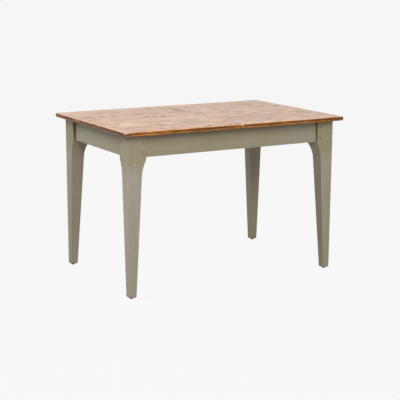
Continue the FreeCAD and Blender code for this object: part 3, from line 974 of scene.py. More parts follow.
@dataclass(frozen=True)
class PaintFinish(Finish):
    """Sage paint put on by brush and rubbed back at the edges, with bands of height above the floor."""

    strokes: Axis
    olive: Colour = (0.322, 0.282, 0.168)
    sage: Colour = (0.362, 0.325, 0.236)
    grey: Colour = (0.425, 0.390, 0.325)
    primer: Colour = (0.600, 0.555, 0.440)
    wood: Colour = (0.430, 0.285, 0.205)
    # Dark brown for soiled soles, and for the painted shade in the recesses and on the end faces.
    darkening: Colour = (0.072, 0.058, 0.036)
    stain: Colour = (0.330, 0.160, 0.080)
    chip_radius: float = 0.0042
    stain_radius: float = 0.0085
    spot_raggedness: float = 0.003
    spot_middle: float = 0.4
    foot_height: Band = (0.0255, 0.0175)
    foot_raggedness: float = 0.010
    sole_height: Band = (0.0130, 0.0090)

    def draw(self, drawing: Drawing) -> None:
        """Draws the nodes.

        Args:
            drawing: The material being drawn.
        """
        sketch, place, effects = drawing.sketch, drawing.place, drawing.effects
        height = sketch.parts(place)[2]
        hairs = sketch.drawn_out(place, self.strokes, along=5.0, across=190.0)
        brush = sketch.noise(hairs, scale=1.0, detail=3.0, rough=0.6)
        sweep = sketch.noise(sketch.drawn_out(place, self.strokes, along=2.2, across=28.0), scale=1.0)
        clouds = drawing.clouds(scale=5.0)
        # The tone written on the vertices carries painted light and shade.
        tone = sketch.total(sketch.painted("tone"), sketch.span(clouds["Cloud"], -0.12, 0.12),
                            sketch.span(sweep, -0.30, 0.30))
        colour = sketch.ramp(tone, ((0.0, self.olive), (0.5, self.sage), (1.0, self.grey)))
        shade = sketch.ramp(brush, ((0.25, (0.93, 0.93, 0.93)), (0.75, (1.06, 1.06, 1.06))))
        colour = sketch.tinted(colour, shade)
        # Painted shade, with soiling in the recesses, as written on the vertices.
        shade_and_grime = sketch.times(sketch.painted("shade_and_grime"), sketch.span(clouds["Grit"], 0.60, 1.00))
        colour = sketch.mix(shade_and_grime, colour, self.darkening)
        worn = sketch.group(effects.rubbed, place=place, edge=sketch.painted("edge"),
                            amount=-0.06).outputs["Mask"]
        loose = sketch.group(effects.flecks, place=place, cells=11.0, share=0.06, radius=0.07).outputs["Mask"]
        chips = sketch.most(self.spots(drawing, PAINT_CHIPS, self.chip_radius), loose)
        stains = self.spots(drawing, PEG_STAINS, self.stain_radius)
        ragged = sketch.total(height, sketch.span(brush, -self.foot_raggedness, self.foot_raggedness))
        foot = sketch.times(sketch.mask(ragged, *self.foot_height), sketch.painted("bare_foot"))
        sole = sketch.mask(height, *self.sole_height)
        colour = sketch.covered(colour, self.primer, chips, strength=0.75)
        colour = sketch.covered(colour, self.primer, worn, strength=0.8)
        through = sketch.times(worn, sketch.mask(clouds["Grit"], 0.5, 0.62))
        colour = sketch.mix(sketch.most(foot, through), colour, self.wood)
        colour = sketch.covered(colour, self.stain, stains, strength=0.6)
        colour = sketch.covered(colour, self.darkening, sole, strength=0.85)
        level = sketch.weighted((brush, 0.55), (sweep, 0.5), (sketch.most(chips, worn), -0.6))
        dull = sketch.total(sketch.weighted((brush, 0.16), (worn, 0.15)), 0.46)
        drawing.set(Base_Color=colour, Roughness=dull, Normal=sketch.bump(level, strength=0.4, depth=0.0007))

    def spots(self, drawing: Drawing, middles: tuple[Point, ...], radius: float) -> Socket:
        """Ragged spots on the legs.

        Args:
            drawing: The material being drawn.
            middles: Where the spots are.
            radius: Their reach.

        Returns:
            The mask.
        """
        sketch = drawing.sketch
        bits = sketch.noise(drawing.place, scale=260.0)
        ragged = sketch.span(bits, -self.spot_raggedness, self.spot_raggedness)
        mask: Value = 0.0
        for middle in middles:
            away = sketch.node("ShaderNodeVectorMath", operation="DISTANCE")
            sketch.feed(away.inputs[0], drawing.place)
            away.inputs[1].default_value = middle
            reach = sketch.total(away.outputs["Value"], ragged)
            mask = sketch.most(mask, sketch.mask(reach, radius, radius * self.spot_middle))
        return mask


@dataclass(frozen=True)
class BareWoodFinish(Finish):
    """Sawn and planed pine that nobody sees: cleats, bars, rails, bearers and blocks."""

    grain: Axis
    pale: Colour = (0.600, 0.430, 0.255)
    dark: Colour = (0.430, 0.265, 0.130)
    dusty: Colour = (0.470, 0.380, 0.290)

    def draw(self, drawing: Drawing) -> None:
        """Draws the nodes.

        Args:
            drawing: The material being drawn.
        """
        sketch = drawing.sketch
        along, across, through = drawing.grain_places(self.grain)
        seed = sketch.math("FLOOR", sketch.times(across, 12.0))
        figure = sketch.group(drawing.effects.figure, along=along, across=across, through=through, seed=seed,
                              bend=0.0).outputs
        clouds = drawing.clouds(scale=6.0)
        colour = sketch.covered(self.pale, self.dark, figure["Growth"], strength=0.75)
        colour = sketch.covered(colour, self.dark, sketch.mask(figure["Streak"], 0.45, 0.75), strength=0.5)
        colour = sketch.covered(colour, self.dusty, clouds["Cloud"], strength=0.35)
        saw = sketch.ramp(figure["Fibre"], ((0.3, (0.86, 0.85, 0.84)), (0.7, (1.06, 1.06, 1.06))))
        colour = sketch.tinted(colour, saw)
        height = sketch.weighted((figure["Fibre"], 0.7), (figure["Growth"], -0.3))
        drawing.set(Base_Color=colour, Roughness=sketch.span(figure["Fibre"], 0.62, 0.82),
                    Normal=sketch.bump(height, strength=0.4, depth=0.0005))


@dataclass(frozen=True)
class PegFinish(Finish):
    """End grain of the pegs, ringed, with painted shade of the gap round their rim, some of them painted
    over.
    """

    middle: Colour = (0.640, 0.235, 0.060)
    ring: Colour = (0.420, 0.130, 0.032)
    old: Colour = (0.120, 0.050, 0.026)
    # Dark ring round the pegs' rim: painted shade of the gap round each peg.
    rim: Colour = (0.150, 0.070, 0.034)
    paint: Colour = (0.340, 0.315, 0.245)
    # The same painted shade of the gap on the painted-over pegs.
    paint_gap_shade: Colour = (0.220, 0.200, 0.150)

    def draw(self, drawing: Drawing) -> None:
        """Draws the nodes.

        Args:
            drawing: The material being drawn.
        """
        sketch = drawing.sketch
        uneven = sketch.span(sketch.noise(drawing.place, scale=300.0), -0.12, 0.12)
        out = sketch.total(sketch.painted("ring"), uneven)
        wave = sketch.math("SINE", sketch.times(out, 22.0))
        clouds = drawing.clouds(scale=60.0)
        colour = sketch.mix(sketch.mask(wave, -0.6, 0.9), self.middle, self.ring)
        colour = sketch.covered(colour, self.ring, clouds["Cloud"], strength=0.35)
        colour = sketch.mix(sketch.painted("age"), colour, self.old)
        # Outer ring darkened, on bare and painted pegs: painted shade of the gap round the peg.
        edge = sketch.mask(out, 0.82, 1.0)
        colour = sketch.mix(edge, colour, self.rim)
        paint = sketch.mix(edge, self.paint, self.paint_gap_shade)
        colour = sketch.mix(sketch.painted("painted"), colour, paint)
        drawing.set(Base_Color=colour, Roughness=sketch.span(clouds["Grit"], 0.40, 0.62),
                    Normal=sketch.bump(wave, strength=0.3, depth=0.0002))


@dataclass(frozen=True)
class MetalFinish(Finish):
    """Zinc-plated steel, brushed one way and dulled by handling."""

    bright: Colour = (0.640, 0.630, 0.600)
    dull: Colour = (0.380, 0.370, 0.345)
    rust: Colour = (0.230, 0.110, 0.050)
    rust_share: float = 0.25

    def draw(self, drawing: Drawing) -> None:
        """Draws the nodes.

        Args:
            drawing: The material being drawn.
        """
        sketch = drawing.sketch
        brushed = sketch.noise(sketch.stretched(drawing.place, (60.0, 1400.0, 900.0)), scale=1.0)
        clouds = drawing.clouds(scale=45.0)
        colour = sketch.mix(clouds["Cloud"], self.bright, self.dull)
        spots = sketch.times(sketch.mask(clouds["Grit"], 0.58, 0.7), self.rust_share)
        colour = sketch.mix(spots, colour, self.rust)
        rough = sketch.total(sketch.weighted((brushed, 0.22), (clouds["Cloud"], 0.12)), 0.22)
        drawing.set(Base_Color=colour, Metallic=sketch.span(spots, 1.0, 0.2), Roughness=rough,
                    Normal=sketch.bump(brushed, strength=0.15, depth=0.0002))


@dataclass(frozen=True)
class GlideFinish(Finish):
    """Moulded foot glides, scuffed grey on the tread."""

    moulded: Colour = (0.060, 0.044, 0.036)
    scuffed: Colour = (0.180, 0.150, 0.130)
    tread: float = 0.0012

    def draw(self, drawing: Drawing) -> None:
        """Draws the nodes.

        Args:
            drawing: The material being drawn.
        """
        sketch = drawing.sketch
        height = sketch.parts(drawing.place)[2]
        clouds = drawing.clouds(scale=130.0)
        worn = sketch.times(sketch.mask(height, self.tread, 0.0), sketch.span(clouds["Grit"], 0.3, 1.0))
        grey = sketch.total(worn, sketch.times(clouds["Cloud"], 0.25))
        colour = sketch.mix(grey, self.moulded, self.scuffed)
        drawing.set(Base_Color=colour, Roughness=sketch.span(clouds["Cloud"], 0.42, 0.62),
                    Normal=sketch.bump(clouds["Grit"], strength=0.2, depth=0.0002))


def finished_piece(name: str, shape: Shape, material: Material, body: str,
                   nodes: list[str]) -> Piece:
    """Makes an object of a finished shape and puts it in the place of the nodes that it stands for.

    Args:
        name: The piece's name.
        shape: The shape, which is used up.
        material: Its finish.
        body: The body that it rides on.
        nodes: The construction nodes that it stands for.

    Returns:
        The piece.
    """
    sharp_angle = math.radians(38.0)
    bmesh.ops.recalc_face_normals(shape, faces=shape.faces)
    mesh = bpy.data.meshes.new(name)
    shape.to_mesh(mesh)
    shape.free()
    mesh.shade_smooth()
    mesh.set_sharp_from_angle(angle=sharp_angle)
    mesh.materials.append(material)
    piece = bpy.data.objects.new(name, mesh)
    bpy.context.scene.collection.objects.link(piece)
    even = piece.modifiers.new("even_normals", "WEIGHTED_NORMAL")
    even.keep_sharp = True
    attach(piece, body)
    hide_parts(*nodes)
    LOG.info("%s: %d faces, rides on %s", name, len(mesh.polygons), body)
    return piece


def dressed_node(name: str, material: Material) -> None:
    """Gives a construction node its finish.

    Args:
        name: The node.
        material: The finish.
    """
    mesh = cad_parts[name].data
    mesh.materials.clear()
    mesh.materials.append(material)
    LOG.info("%s: dressed in %s", name, material.name)


def box_blank(low: Vector, high: Vector) -> Shape:
    """A plain block between two corners.

    Args:
        low: Lowest corner.
        high: Highest corner.

    Returns:
        The shape.
    """
    shape = bmesh.new()
    bmesh.ops.create_cube(shape, size=1.0)
    bmesh.ops.scale(shape, vec=high - low, verts=shape.verts)
    bmesh.ops.translate(shape, vec=(low + high) / 2, verts=shape.verts)
    return shape


def rounded(shape: Shape, edges: list[Edge], offset: float,
            segments: int) -> list[bmesh.types.BMVert]:
    """Bevels edges.

    Args:
        shape: The shape that they are on.
        edges: The edges.
        offset: Width of the bevel.
        segments: How many strips it has.

    Returns:
        The vertices of the bevel.
    """
    made = bmesh.ops.bevel(shape, geom=edges, offset=offset, offset_type="OFFSET", affect="EDGES",
                           segments=segments, profile=0.5, material=-1, clamp_overlap=True)
    return made["verts"]


def sliced(shape: Shape, axis: Axis, places: list[float]) -> None:
    """Cuts new edge loops through a shape.

    Args:
        shape: The shape.
        axis: Direction square to the cuts.
        places: Where the cuts lie along it.
    """
    normal = Vector((0.0, 0.0, 0.0))
    normal[axis.value] = 1.0
    for place in places:
        geometry = shape.verts[:] + shape.edges[:] + shape.faces[:]
        bmesh.ops.bisect_plane(shape, geom=geometry, plane_co=normal * place, plane_no=normal, dist=CUT_REACH)


def spaced(low: float, high: float, pitch: float) -> list[float]:
    """Even places between two limits.

    Args:
        low: First limit, left out.
        high: Last limit, left out.
        pitch: Greatest distance between places.

    Returns:
        The places.
    """
    count = max(1, math.ceil((high - low) / pitch))
    return [low + (high - low) * number / count for number in range(1, count)]


def clamped(value: float) -> float:
    """Keeps a number between 0 and 1."""
    return min(1.0, max(0.0, value))


def waviness(place: Vector) -> float:
    """Smooth noise from 0 to 1."""
    return 0.5 + 0.5 * noise.noise(place)


@dataclass
class Board:
    """One board of the top, with its length along X, between the corners of its box.

    The ends and sides at the table's edge are rounded. They are named by their signs along X and Y.
    """

    low: Vector
    high: Vector
    round_ends: tuple[int, ...]
    round_sides: tuple[int, ...]
    socketed: bool
    seed: int
    end_brown: float = 1.0
    corner_radius: float = 0.025
    corner_segments: int = 12
    edge_round: float = 0.008
    edge_segments: int = 5
    rim_reach: float = 0.020
    joint_arris: float = 0.0008
    joint_fade: float = 0.0035
    seam_fade: float = 0.0060
    socket_radius: float = 0.0043
    socket_depth: float = 0.016
    socket_margin: float = 0.007
    socket_cuts: int = 3
    loop_pitch: float = 0.024
    hollow_depth: float = 0.0005
    hollow_waves: tuple[float, float] = (7.0, 16.0)
    dent_depth: float = 0.0024
    dent_waves: float = 21.0
    dent_start: float = 0.12
    low_dents: float = 0.35
    seed_step: Point = (3.1, 1.7, 0.0)

    def middle(self) -> Vector:
        """Middle of the board's box."""
        return (self.low + self.high) / 2

    def outside(self, normal: Vector) -> bool:
        """Tells whether a side face shows at the table's edge.

        Args:
            normal: Direction of the face.

        Returns:
            True if it does.
        """
        at_end = any(normal.x * end > FACING for end in self.round_ends)
        at_side = any(normal.y * side > FACING for side in self.round_sides)
        return at_end or at_side

    def top_edges(self, shape: Shape, outside: bool) -> list[Edge]:
        """Edges between a flat face and a side face.

        Args:
            shape: The board so far.
            outside: True for the table's edge, above and below, False for the upper edges at joints.

        Returns:
            The edges.
        """
        found = []
        for edge in shape.edges:
            flat = [f for f in edge.link_faces if abs(f.normal.z) > FLAT]
            side = [f for f in edge.link_faces if abs(f.normal.z) < FACING]
            if len(flat) == 1 and len(side) == 1 and self.outside(side[0].normal) == outside:
                if outside or flat[0].normal.z > 0:
                    found.append(edge)
        return found

    def corner_edges(self, shape: Shape) -> list[Edge]:
        """Upright edges where a rounded end meets a rounded side.

        Args:
            shape: The board so far.

        Returns:
            The edges.
        """
        found = []
        for edge in shape.edges:
            normals = [f.normal for f in edge.link_faces if abs(f.normal.z) < FACING]
            at_end = any(n.x * end > FLAT for n in normals for end in self.round_ends)
            at_side = any(n.y * side > FLAT for n in normals for side in self.round_sides)
            if len(normals) == 2 and at_end and at_side:
                found.append(edge)
        return found

    def gap(self, place: Vector, axis: Axis, signs: tuple[int, ...]) -> float:
        """Distance from the nearest of some ends or sides, seen from above.

        Args:
            place: A point of the board.
            axis: X for ends, Y for sides.
            signs: Which of the two count.

        Returns:
            The distance, large if none of them count.
        """
        number = axis.value
        gaps = {-1: place[number] - self.low[number], 1: self.high[number] - place[number]}
        return min((gaps[sign] for sign in signs), default=FAR)

    def inset(self, place: Vector) -> float:
        """Distance in from the table's edge, seen from above.

        Args:
            place: A point of the board.

        Returns:
            The distance, large where no side of the board is at the table's edge.
        """
        from_end = self.gap(place, Axis.X, self.round_ends)
        from_side = self.gap(place, Axis.Y, self.round_sides)
        radius = self.corner_radius
        if from_end < radius and from_side < radius:
            return radius - math.hypot(radius - from_end, radius - from_side)
        return min(from_end, from_side)

    def at_end(self, place: Vector) -> bool:
        """True within a corner's radius of a rounded end."""
        return self.gap(place, Axis.X, self.round_ends) < self.corner_radius

    def at_side(self, place: Vector) -> bool:
        """True within a corner's radius of a rounded side."""
        return self.gap(place, Axis.Y, self.round_sides) < self.corner_radius

    def build(self) -> Shape:
        """Shapes, wears and paints the board.

        Returns:
            The shape.
        """
        shape = box_blank(self.low, self.high)
        shape.normal_update()
        rounded(shape, self.corner_edges(shape), self.corner_radius, self.corner_segments)
        shape.normal_update()
        rounded(shape, self.top_edges(shape, outside=True), self.edge_round, self.edge_segments)
        shape.normal_update()
        rounded(shape, self.top_edges(shape, outside=False), self.joint_arris, segments=1)
        middle = self.middle()
        rim = self.rim_reach
        x_low = self.low.x + (rim if -1 in self.round_ends else self.seam_fade)
        x_high = self.high.x - (rim if 1 in self.round_ends else self.seam_fade)
        y_low = self.low.y + (rim if -1 in self.round_sides else self.joint_fade)
        y_high = self.high.y - (rim if 1 in self.round_sides else self.joint_fade)
        sliced(shape, Axis.X, [x_low, x_high] + spaced(x_low, x_high, self.loop_pitch))
        margin = self.socket_margin
        sliced(shape, Axis.Y, [y_low, middle.y - margin, middle.y + margin, y_high]
               + spaced(y_low, middle.y - margin, self.loop_pitch)
               + spaced(middle.y + margin, y_high, self.loop_pitch))
        if self.socketed:
            self.bore(shape, Vector((self.low.x, middle.y, middle.z)))
        self.paint(shape)
        self.wear(shape)
        return shape

    def end_strip(self, shape: Shape, middle: Vector) -> list[Face]:
        """The upright strip of the low X end that a socket lies in.

        Args:
            shape: The board so far.
            middle: Middle of the socket's mouth.

        Returns:
            Its faces.
        """
        reach = self.socket_margin / 2
        faces = []
        for face in shape.faces:
            away = face.calc_center_median() - middle
            if face.normal.x < -FLAT and abs(away.x) < reach and abs(away.y) < reach:
                faces.append(face)
        return faces

    def mouth(self, shape: Shape, middle: Vector) -> Face:
        """The face of the low X end that lies nearest to a socket's middle.

        Args:
            shape: The board so far.
            middle: Middle of the socket's mouth.

        Returns:
            The face.
        """
        end = (face for face in shape.faces if face.normal.x < -FLAT)
        return min(end, key=lambda face: (face.calc_center_median() - middle).length)

    def bore(self, shape: Shape, middle: Vector) -> None:
        """Sinks a dowel socket into the low X end.

        Args:
            shape: The board so far.
            middle: Middle of the socket's mouth.
        """
        shape.normal_update()
        upright = Vector((0.0, 0.0, 1.0))
        for side in BOTH_WAYS:
            faces = self.end_strip(shape, middle)
            edges = dict.fromkeys(edge for face in faces for edge in face.edges)
            corners = dict.fromkeys(vertex for face in faces for vertex in face.verts)
            level = middle + upright * side * self.socket_margin
            bmesh.ops.bisect_plane(shape, geom=[*faces, *edges, *corners], plane_co=level, plane_no=upright,
                                   dist=CUT_REACH)
        bmesh.ops.subdivide_edges(shape, edges=list(self.mouth(shape, middle).edges), cuts=self.socket_cuts)
        mouth = self.mouth(shape, middle)
        collar = self.socket_radius / 4
        bmesh.ops.inset_individual(shape, faces=[mouth], thickness=collar)
        for vertex in mouth.verts:
            spoke = vertex.co - middle
            spoke.x = 0.0
            vertex.co = middle + spoke.normalized() * self.socket_radius
        sunk = bmesh.ops.extrude_discrete_faces(shape, faces=[mouth])["faces"]
        bmesh.ops.translate(shape, vec=(self.socket_depth, 0.0, 0.0), verts=list(sunk[0].verts))

    def paint(self, shape: Shape) -> None:
        """Writes the distances from the rim, the joints and the seam on the vertices, for the finish.

        Args:
            shape: The board so far.
        """
        layers = shape.verts.layers.float
        rim, end, joint, seam = (layers.new(name) for name in ("from_rim", "end", "joint", "seam"))
        joints = tuple(sign for sign in BOTH_WAYS if sign not in self.round_sides)
        seams = tuple(sign for sign in BOTH_WAYS if sign not in self.round_ends)
        for vertex in shape.verts:
            from_joint = self.gap(vertex.co, Axis.Y, joints) - self.joint_arris
            from_seam = self.gap(vertex.co, Axis.X, seams) - self.joint_arris
            vertex[rim] = clamped(self.inset(vertex.co) / self.rim_reach)
            vertex[end] = self.end_brown if self.at_end(vertex.co) else 0.0
            vertex[joint] = clamped(1.0 - from_joint / self.joint_fade)
            vertex[seam] = clamped(1.0 - from_seam / self.seam_fade)

    def wear(self, shape: Shape) -> None:
        """Hollows the face a little and knocks dents into the rim, never outwards.

        Args:
            shape: The board so far.
        """
        middle = self.middle()
        thickness = self.high.z - self.low.z
        shift = Vector([step * self.seed for step in self.seed_step])
        along, across = self.hollow_waves
        for vertex in shape.verts:
            place = vertex.co.copy()
            upper = max(0.0, (place.z - middle.z) / (thickness / 2))
            wave = waviness(Vector((place.x * along, place.y * across, 0.0)) + shift)
            vertex.co.z -= self.hollow_depth * wave * upper
            if self.inset(place) < self.edge_round:
                dent = max(0.0, noise.noise(place * self.dent_waves + shift) - self.dent_start)
                inward = Vector((middle.x - place.x if self.at_end(place) else 0.0,
                                 middle.y - place.y if self.at_side(place) else 0.0, 0.0))
                strength = self.low_dents + (1.0 - self.low_dents) * upper
                vertex.co += inward.normalized() * dent * self.dent_depth * strength


@dataclass
class PlankTop:
    """The top's two halves: boards that run lengthwise from the ends to the seam."""

    finish: Material
    left_brown: float = 1.0
    right_brown: float = 0.1

    def build(self) -> list[Piece]:
        """Builds every board of both halves.

        Returns:
            The pieces.
        """
        pieces = []
        for half in Half:
            for number in range(1, BOARD_COUNT + 1):
                pieces.append(self.board(half, number))
        return pieces

    def board(self, half: Half, number: int) -> Piece:
        """Builds one board.

        Args:
            half: The half that it belongs to.
            number: Its number, counted from the front.

        Returns:
            The piece.
        """
        node = f"{half.word()}_board_{number}"
        low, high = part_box(node)
        sides = {1: (-1,), BOARD_COUNT: (1,)}.get(number, ())
        board = Board(low, high, round_ends=(half.value,), round_sides=sides,
                      socketed=half is Half.RIGHT and number in DOWEL_BOARDS,
                      seed=number + half.value * BOARD_COUNT,
                      end_brown=self.left_brown if half is Half.LEFT else self.right_brown)
        return finished_piece(f"{half.word()}_plank_{number}", board.build(), self.finish,
                              f"{half.word()}_top", [node])


@dataclass
class StoredLeaf:
    """The loose leaf, a quarter turned under the top: its boards run from front to back."""

    finish: Material
    bare: Material
    dowel: Material
    metal: Material

    def build(self) -> list[Piece]:
        """Builds the leaf's boards and dresses what holds them.

        Returns:
            The pieces.
        """
        for name in ("front", "back"):
            dressed_node(f"leaf_cleat_{name}", self.bare)
        dressed_node("leaf_screws", self.metal)
        dressed_node("leaf_dowels", self.dowel)
        return [self.board(number) for number in range(1, BOARD_COUNT + 1)]

    def board(self, number: int) -> Piece:
        """Builds one board lengthwise along X, then turns it.

        Args:
            number: Its number, counted from the left.

        Returns:
            The piece.
        """
        node = f"leaf_board_{number}"
        low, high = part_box(node)
        sides = {1: (1,), BOARD_COUNT: (-1,)}.get(number, ())
        board = Board(Vector((low.y, -high.x, low.z)), Vector((high.y, -low.x, high.z)), round_ends=(),
                      round_sides=sides, socketed=number in DOWEL_BOARDS, seed=3 * BOARD_COUNT + number)
        shape = board.build()
        quarter = Matrix.Rotation(math.pi / 2, 3, "Z")
        bmesh.ops.rotate(shape, cent=(0.0, 0.0, 0.0), matrix=quarter, verts=shape.verts)
        return finished_piece(f"leaf_plank_{number}", shape, self.finish, "frame", [node])


@dataclass(frozen=True)
class LegWear:
    """How one leg differs: a shift of its tone, painted shade on its end faces, and how bare its foot is."""

    tone_shift: float = 0.0
    end_shade: float = 0.0
    bare_foot: float = 0.0


# The back legs' end faces are darkened: painted shade, as less light reaches them.
LEG_WEAR = {
    Corner.FRONT_LEFT: LegWear(bare_foot=1.0),
    Corner.FRONT_RIGHT: LegWear(tone_shift=-0.36),
    Corner.BACK_LEFT: LegWear(tone_shift=-0.34, end_shade=0.20),
    Corner.BACK_RIGHT: LegWear(tone_shift=-0.55, end_shade=0.20),
}


@dataclass
class Leg:
    """One tapered leg: straight outer faces, inner faces that taper up to a cove under the block."""

    corner: Corner
    wear: LegWear
    foot_width: float = 0.036
    waist_width: float = 0.068
    waist_height: float = 0.565
    block_bottom: float = 0.640
    arris: float = 0.0024
    chamfer_height: float = 0.003
    chamfer_share: float = 0.90
    # The end faces' greyer tone is painted light, a cooler cast on the faces that look along X; the darker
    # block tone is painted shade under the top.
    front_tone: float = 0.86
    end_lit_tone: float = 0.98
    block_shade_tone: float = -0.76
    # Painted shade with soiling in the recess beside the aprons, darkest under the top.
    low_recess_shade: float = 0.75
    recess_shade_rise: float = 0.100
    low_tone: float = -0.22
    low_height: float = 0.30
    edge_lines: tuple[float, ...] = (0.1, 0.5, 0.9)
    level_reach: float = 0.0005
    taper_loops: int = 20
    cove_loops: int = 10
    block_loops: int = 5
    arris_angle: float = 60.0
    arris_segments: int = 3
    unevenness: float = 0.00025
    uneven_waves: float = 24.0
    knock_depth: float = 0.0010
    knock_waves: float = 40.0
    knock_start: float = 0.15

    def levels(self, foot: float, top: float, block: float) -> list[tuple[float, float]]:
        """Heights and widths of the leg's sections, from the foot up.

        Args:
            foot: Height of the foot.
            top: Height of the leg's top.
            block: Width of the square block.

        Returns:
            Pairs of height and width.
        """
        heel = Vector((self.foot_width, foot))
        waist = Vector((self.waist_width, self.waist_height))
        shoulder = Vector((block, self.block_bottom))
        rise = (waist - heel).normalized()
        outward = Vector((rise.y, -rise.x))
        chord = shoulder - waist
        radius = chord.dot(chord) / (2 * chord.dot(outward))
        centre = waist + outward * radius
        turn = 2 * math.asin(chord.length / (2 * radius))
        ankle = heel + rise * self.chamfer_height
        found = [heel] + [ankle.lerp(waist, n / self.taper_loops) for n in range(self.taper_loops)]
        for number in range(self.cove_loops + 1):
            angle = turn * number / self.cove_loops
            found.append(centre - outward * radius * math.cos(angle) + rise * radius * math.sin(angle))
        head = Vector((block, top))
        found += [shoulder.lerp(head, n / self.block_loops) for n in range(1, self.block_loops + 1)]
        return [(place.y, place.x) for place in found]

    def build(self, finish: Material) -> Piece:
        """Draws the leg in from a square post level by level, eases its edges and knocks it about.

        Args:
            finish: The paint.

        Returns:
            The piece.
        """
        node = f"leg_{self.corner.word()}"
        low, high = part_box(node)
        x_sign, y_sign = self.corner.value
        outer = Vector((low.x if x_sign < 0 else high.x, low.y if y_sign < 0 else high.y, 0.0))
        block = high.x - low.x
        levels = self.levels(low.z, high.z, block)
        shape = box_blank(low, high)
        sliced(shape, Axis.Z, [height for height, _ in levels[1:-1]])
        for axis, sign in ((Axis.X, x_sign), (Axis.Y, y_sign)):
            sliced(shape, axis, [outer[axis.value] - sign * block * share for share in self.edge_lines])
        for height, width in levels:
            ring = [v for v in shape.verts if abs(v.co.z - height) < self.level_reach]
            share = width / block
            bmesh.ops.scale(shape, vec=(share, share, 1.0), space=Matrix.Translation(-outer), verts=ring)
        sole = [v for v in shape.verts if v.co.z - low.z < self.level_reach]
        middle = sum((v.co for v in sole), Vector()) / len(sole)
        share = self.chamfer_share
        bmesh.ops.scale(shape, vec=(share, share, 1.0), space=Matrix.Translation(-middle), verts=sole)
        shape.normal_update()
        self.ease(shape, high.z)
        self.paint(shape, outer, block)
        return finished_piece(f"painted_{node}", shape, finish, "frame", [node])

    def ease(self, shape: Shape, top: float) -> None:
        """Rounds the edges, marks them for the finish and makes the faces a little uneven.

        Args:
            shape: The leg so far.
            top: Height of its top, which is left square.
        """
        sharp = math.radians(self.arris_angle)
        edges = [e for e in shape.edges if len(e.link_faces) == 2 and e.calc_face_angle() > sharp
                 and min(v.co.z for v in e.verts) < top - self.arris]
        eased = set(rounded(shape, edges, self.arris, self.arris_segments))
        edge = shape.verts.layers.float.new("edge")
        shape.normal_update()
        for vertex in shape.verts:
            place = vertex.co.copy()
            normal = vertex.normal.copy()
            sink = self.unevenness * waviness(place * self.uneven_waves)
            if vertex in eased:
                vertex[edge] = 1.0
                sink += self.knock_depth * max(0.0, noise.noise(place * self.knock_waves) - self.knock_start)
            if place.z < top - self.arris:
                vertex.co -= Vector((normal.x, normal.y, 0.0)) * sink

    def paint(self, shape: Shape, outer: Vector, block: float) -> None:
        """Writes on the vertices, for the finish, the paint's tone, which carries painted light and shade,
        and the painted shade on the end faces and, with soiling, beside the aprons.

        Args:
            shape: The finished leg.
            outer: The leg's outer corner.
            block: Width of the square block.
        """
        layers = shape.verts.layers.float
        tone, shade_and_grime, bare_foot = (layers.new(name) for name in ("tone", "shade_and_grime", "bare_foot"))
        recess = 2 * self.arris
        for vertex in shape.verts:
            # End faces take the greyer tone, which is painted light; the block's darker tone is painted shade
            # under the top.
            facing = max(0.0, vertex.normal.x * self.corner.value[0]) ** 2
            raised = clamped((vertex.co.z - self.waist_height) / (self.block_bottom - self.waist_height))
            lowered = max(0.0, 1.0 - vertex.co.z / self.low_height)
            vertex[tone] = (self.front_tone + facing * (self.end_lit_tone - self.front_tone)
                            + raised * self.block_shade_tone + lowered * self.low_tone + self.wear.tone_shift)
            away = sorted(abs(vertex.co[axis.value] - outer[axis.value]) for axis in (Axis.X, Axis.Y))
            beside_apron = away[1] > block - self.arris and away[0] > recess
            vertex[bare_foot] = self.wear.bare_foot
            # End faces darkened: painted shade.
            vertex[shade_and_grime] = self.wear.end_shade * vertex.normal.x ** 2
            # Recess beside the aprons: painted shade with soiling, rising to full under the top.
            if beside_apron and raised == 1.0:
                risen = clamped((vertex.co.z - self.block_bottom) / self.recess_shade_rise)
                vertex[shade_and_grime] = self.low_recess_shade + (1.0 - self.low_recess_shade) * risen


@dataclass
class Apron:
    """One apron between two legs, set back from their faces."""

    word: str
    along: Axis
    housing: float = 0.002
    arris: float = 0.0018
    loop_pitch: float = 0.045
    edge_line: float = 0.008
    # Painted shade with soiling in the corners beside the legs, and an even painted shade over the rest of
    # the face.
    corner_shade_reach: float = 0.006
    shade_and_grime: float = 0.80
    face_shade: float = 0.0
    arris_segments: int = 3
    unevenness: float = 0.0003
    uneven_waves: float = 15.0
    tones: tuple[float, float] = (0.05, 0.55)
    tone_power: float = 3.0

    def build(self, finish: Material) -> Piece:
        """Shapes the apron between the legs' shoulders.

        Args:
            finish: The paint.

        Returns:
            The piece.
        """
        node = f"apron_{self.word}"
        low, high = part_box(node)
        leg_low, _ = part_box("leg_back_right")
        shoulder = leg_low[self.along.value] + self.housing
        low[self.along.value] = -shoulder
        high[self.along.value] = shoulder
        shape = box_blank(low, high)
        shape.normal_update()
        lower = [e for e in shape.edges if all(abs(v.co.z - low.z) < self.arris for v in e.verts)
                 and abs((e.verts[0].co - e.verts[1].co)[self.along.value]) > shoulder]
        rounded(shape, lower, self.arris, self.arris_segments)
        first = low.z + self.edge_line
        sliced(shape, Axis.Z, [first] + spaced(first, high.z, self.loop_pitch))
        clear = shoulder - self.housing - self.corner_shade_reach
        sliced(shape, self.along, [-clear, clear] + spaced(-clear, clear, self.loop_pitch))
        layers = shape.verts.layers.float
        edge, tone, shade_and_grime = (layers.new(name) for name in ("edge", "tone", "shade_and_grime"))
        shape.normal_update()
        for vertex in shape.verts:
            along = vertex.co[self.along.value]
            share = (along / shoulder + 1) / 2
            vertex[edge] = 1.0 if vertex.co.z < low.z + self.arris * SLACK else 0.0
            vertex[tone] = self.tones[0] + share ** self.tone_power * (self.tones[1] - self.tones[0])
            # Corners beside the legs: painted shade with soiling; the rest: the face's even painted shade.
            vertex[shade_and_grime] = self.shade_and_grime if abs(along) > clear + self.corner_shade_reach / 2 else self.face_shade
            sink = self.unevenness * waviness(vertex.co * self.uneven_waves)
            across = 1 - self.along.value
            vertex.co[across] -= vertex.normal[across] * sink
        return finished_piece(f"painted_{node}", shape, finish, "frame", [node])


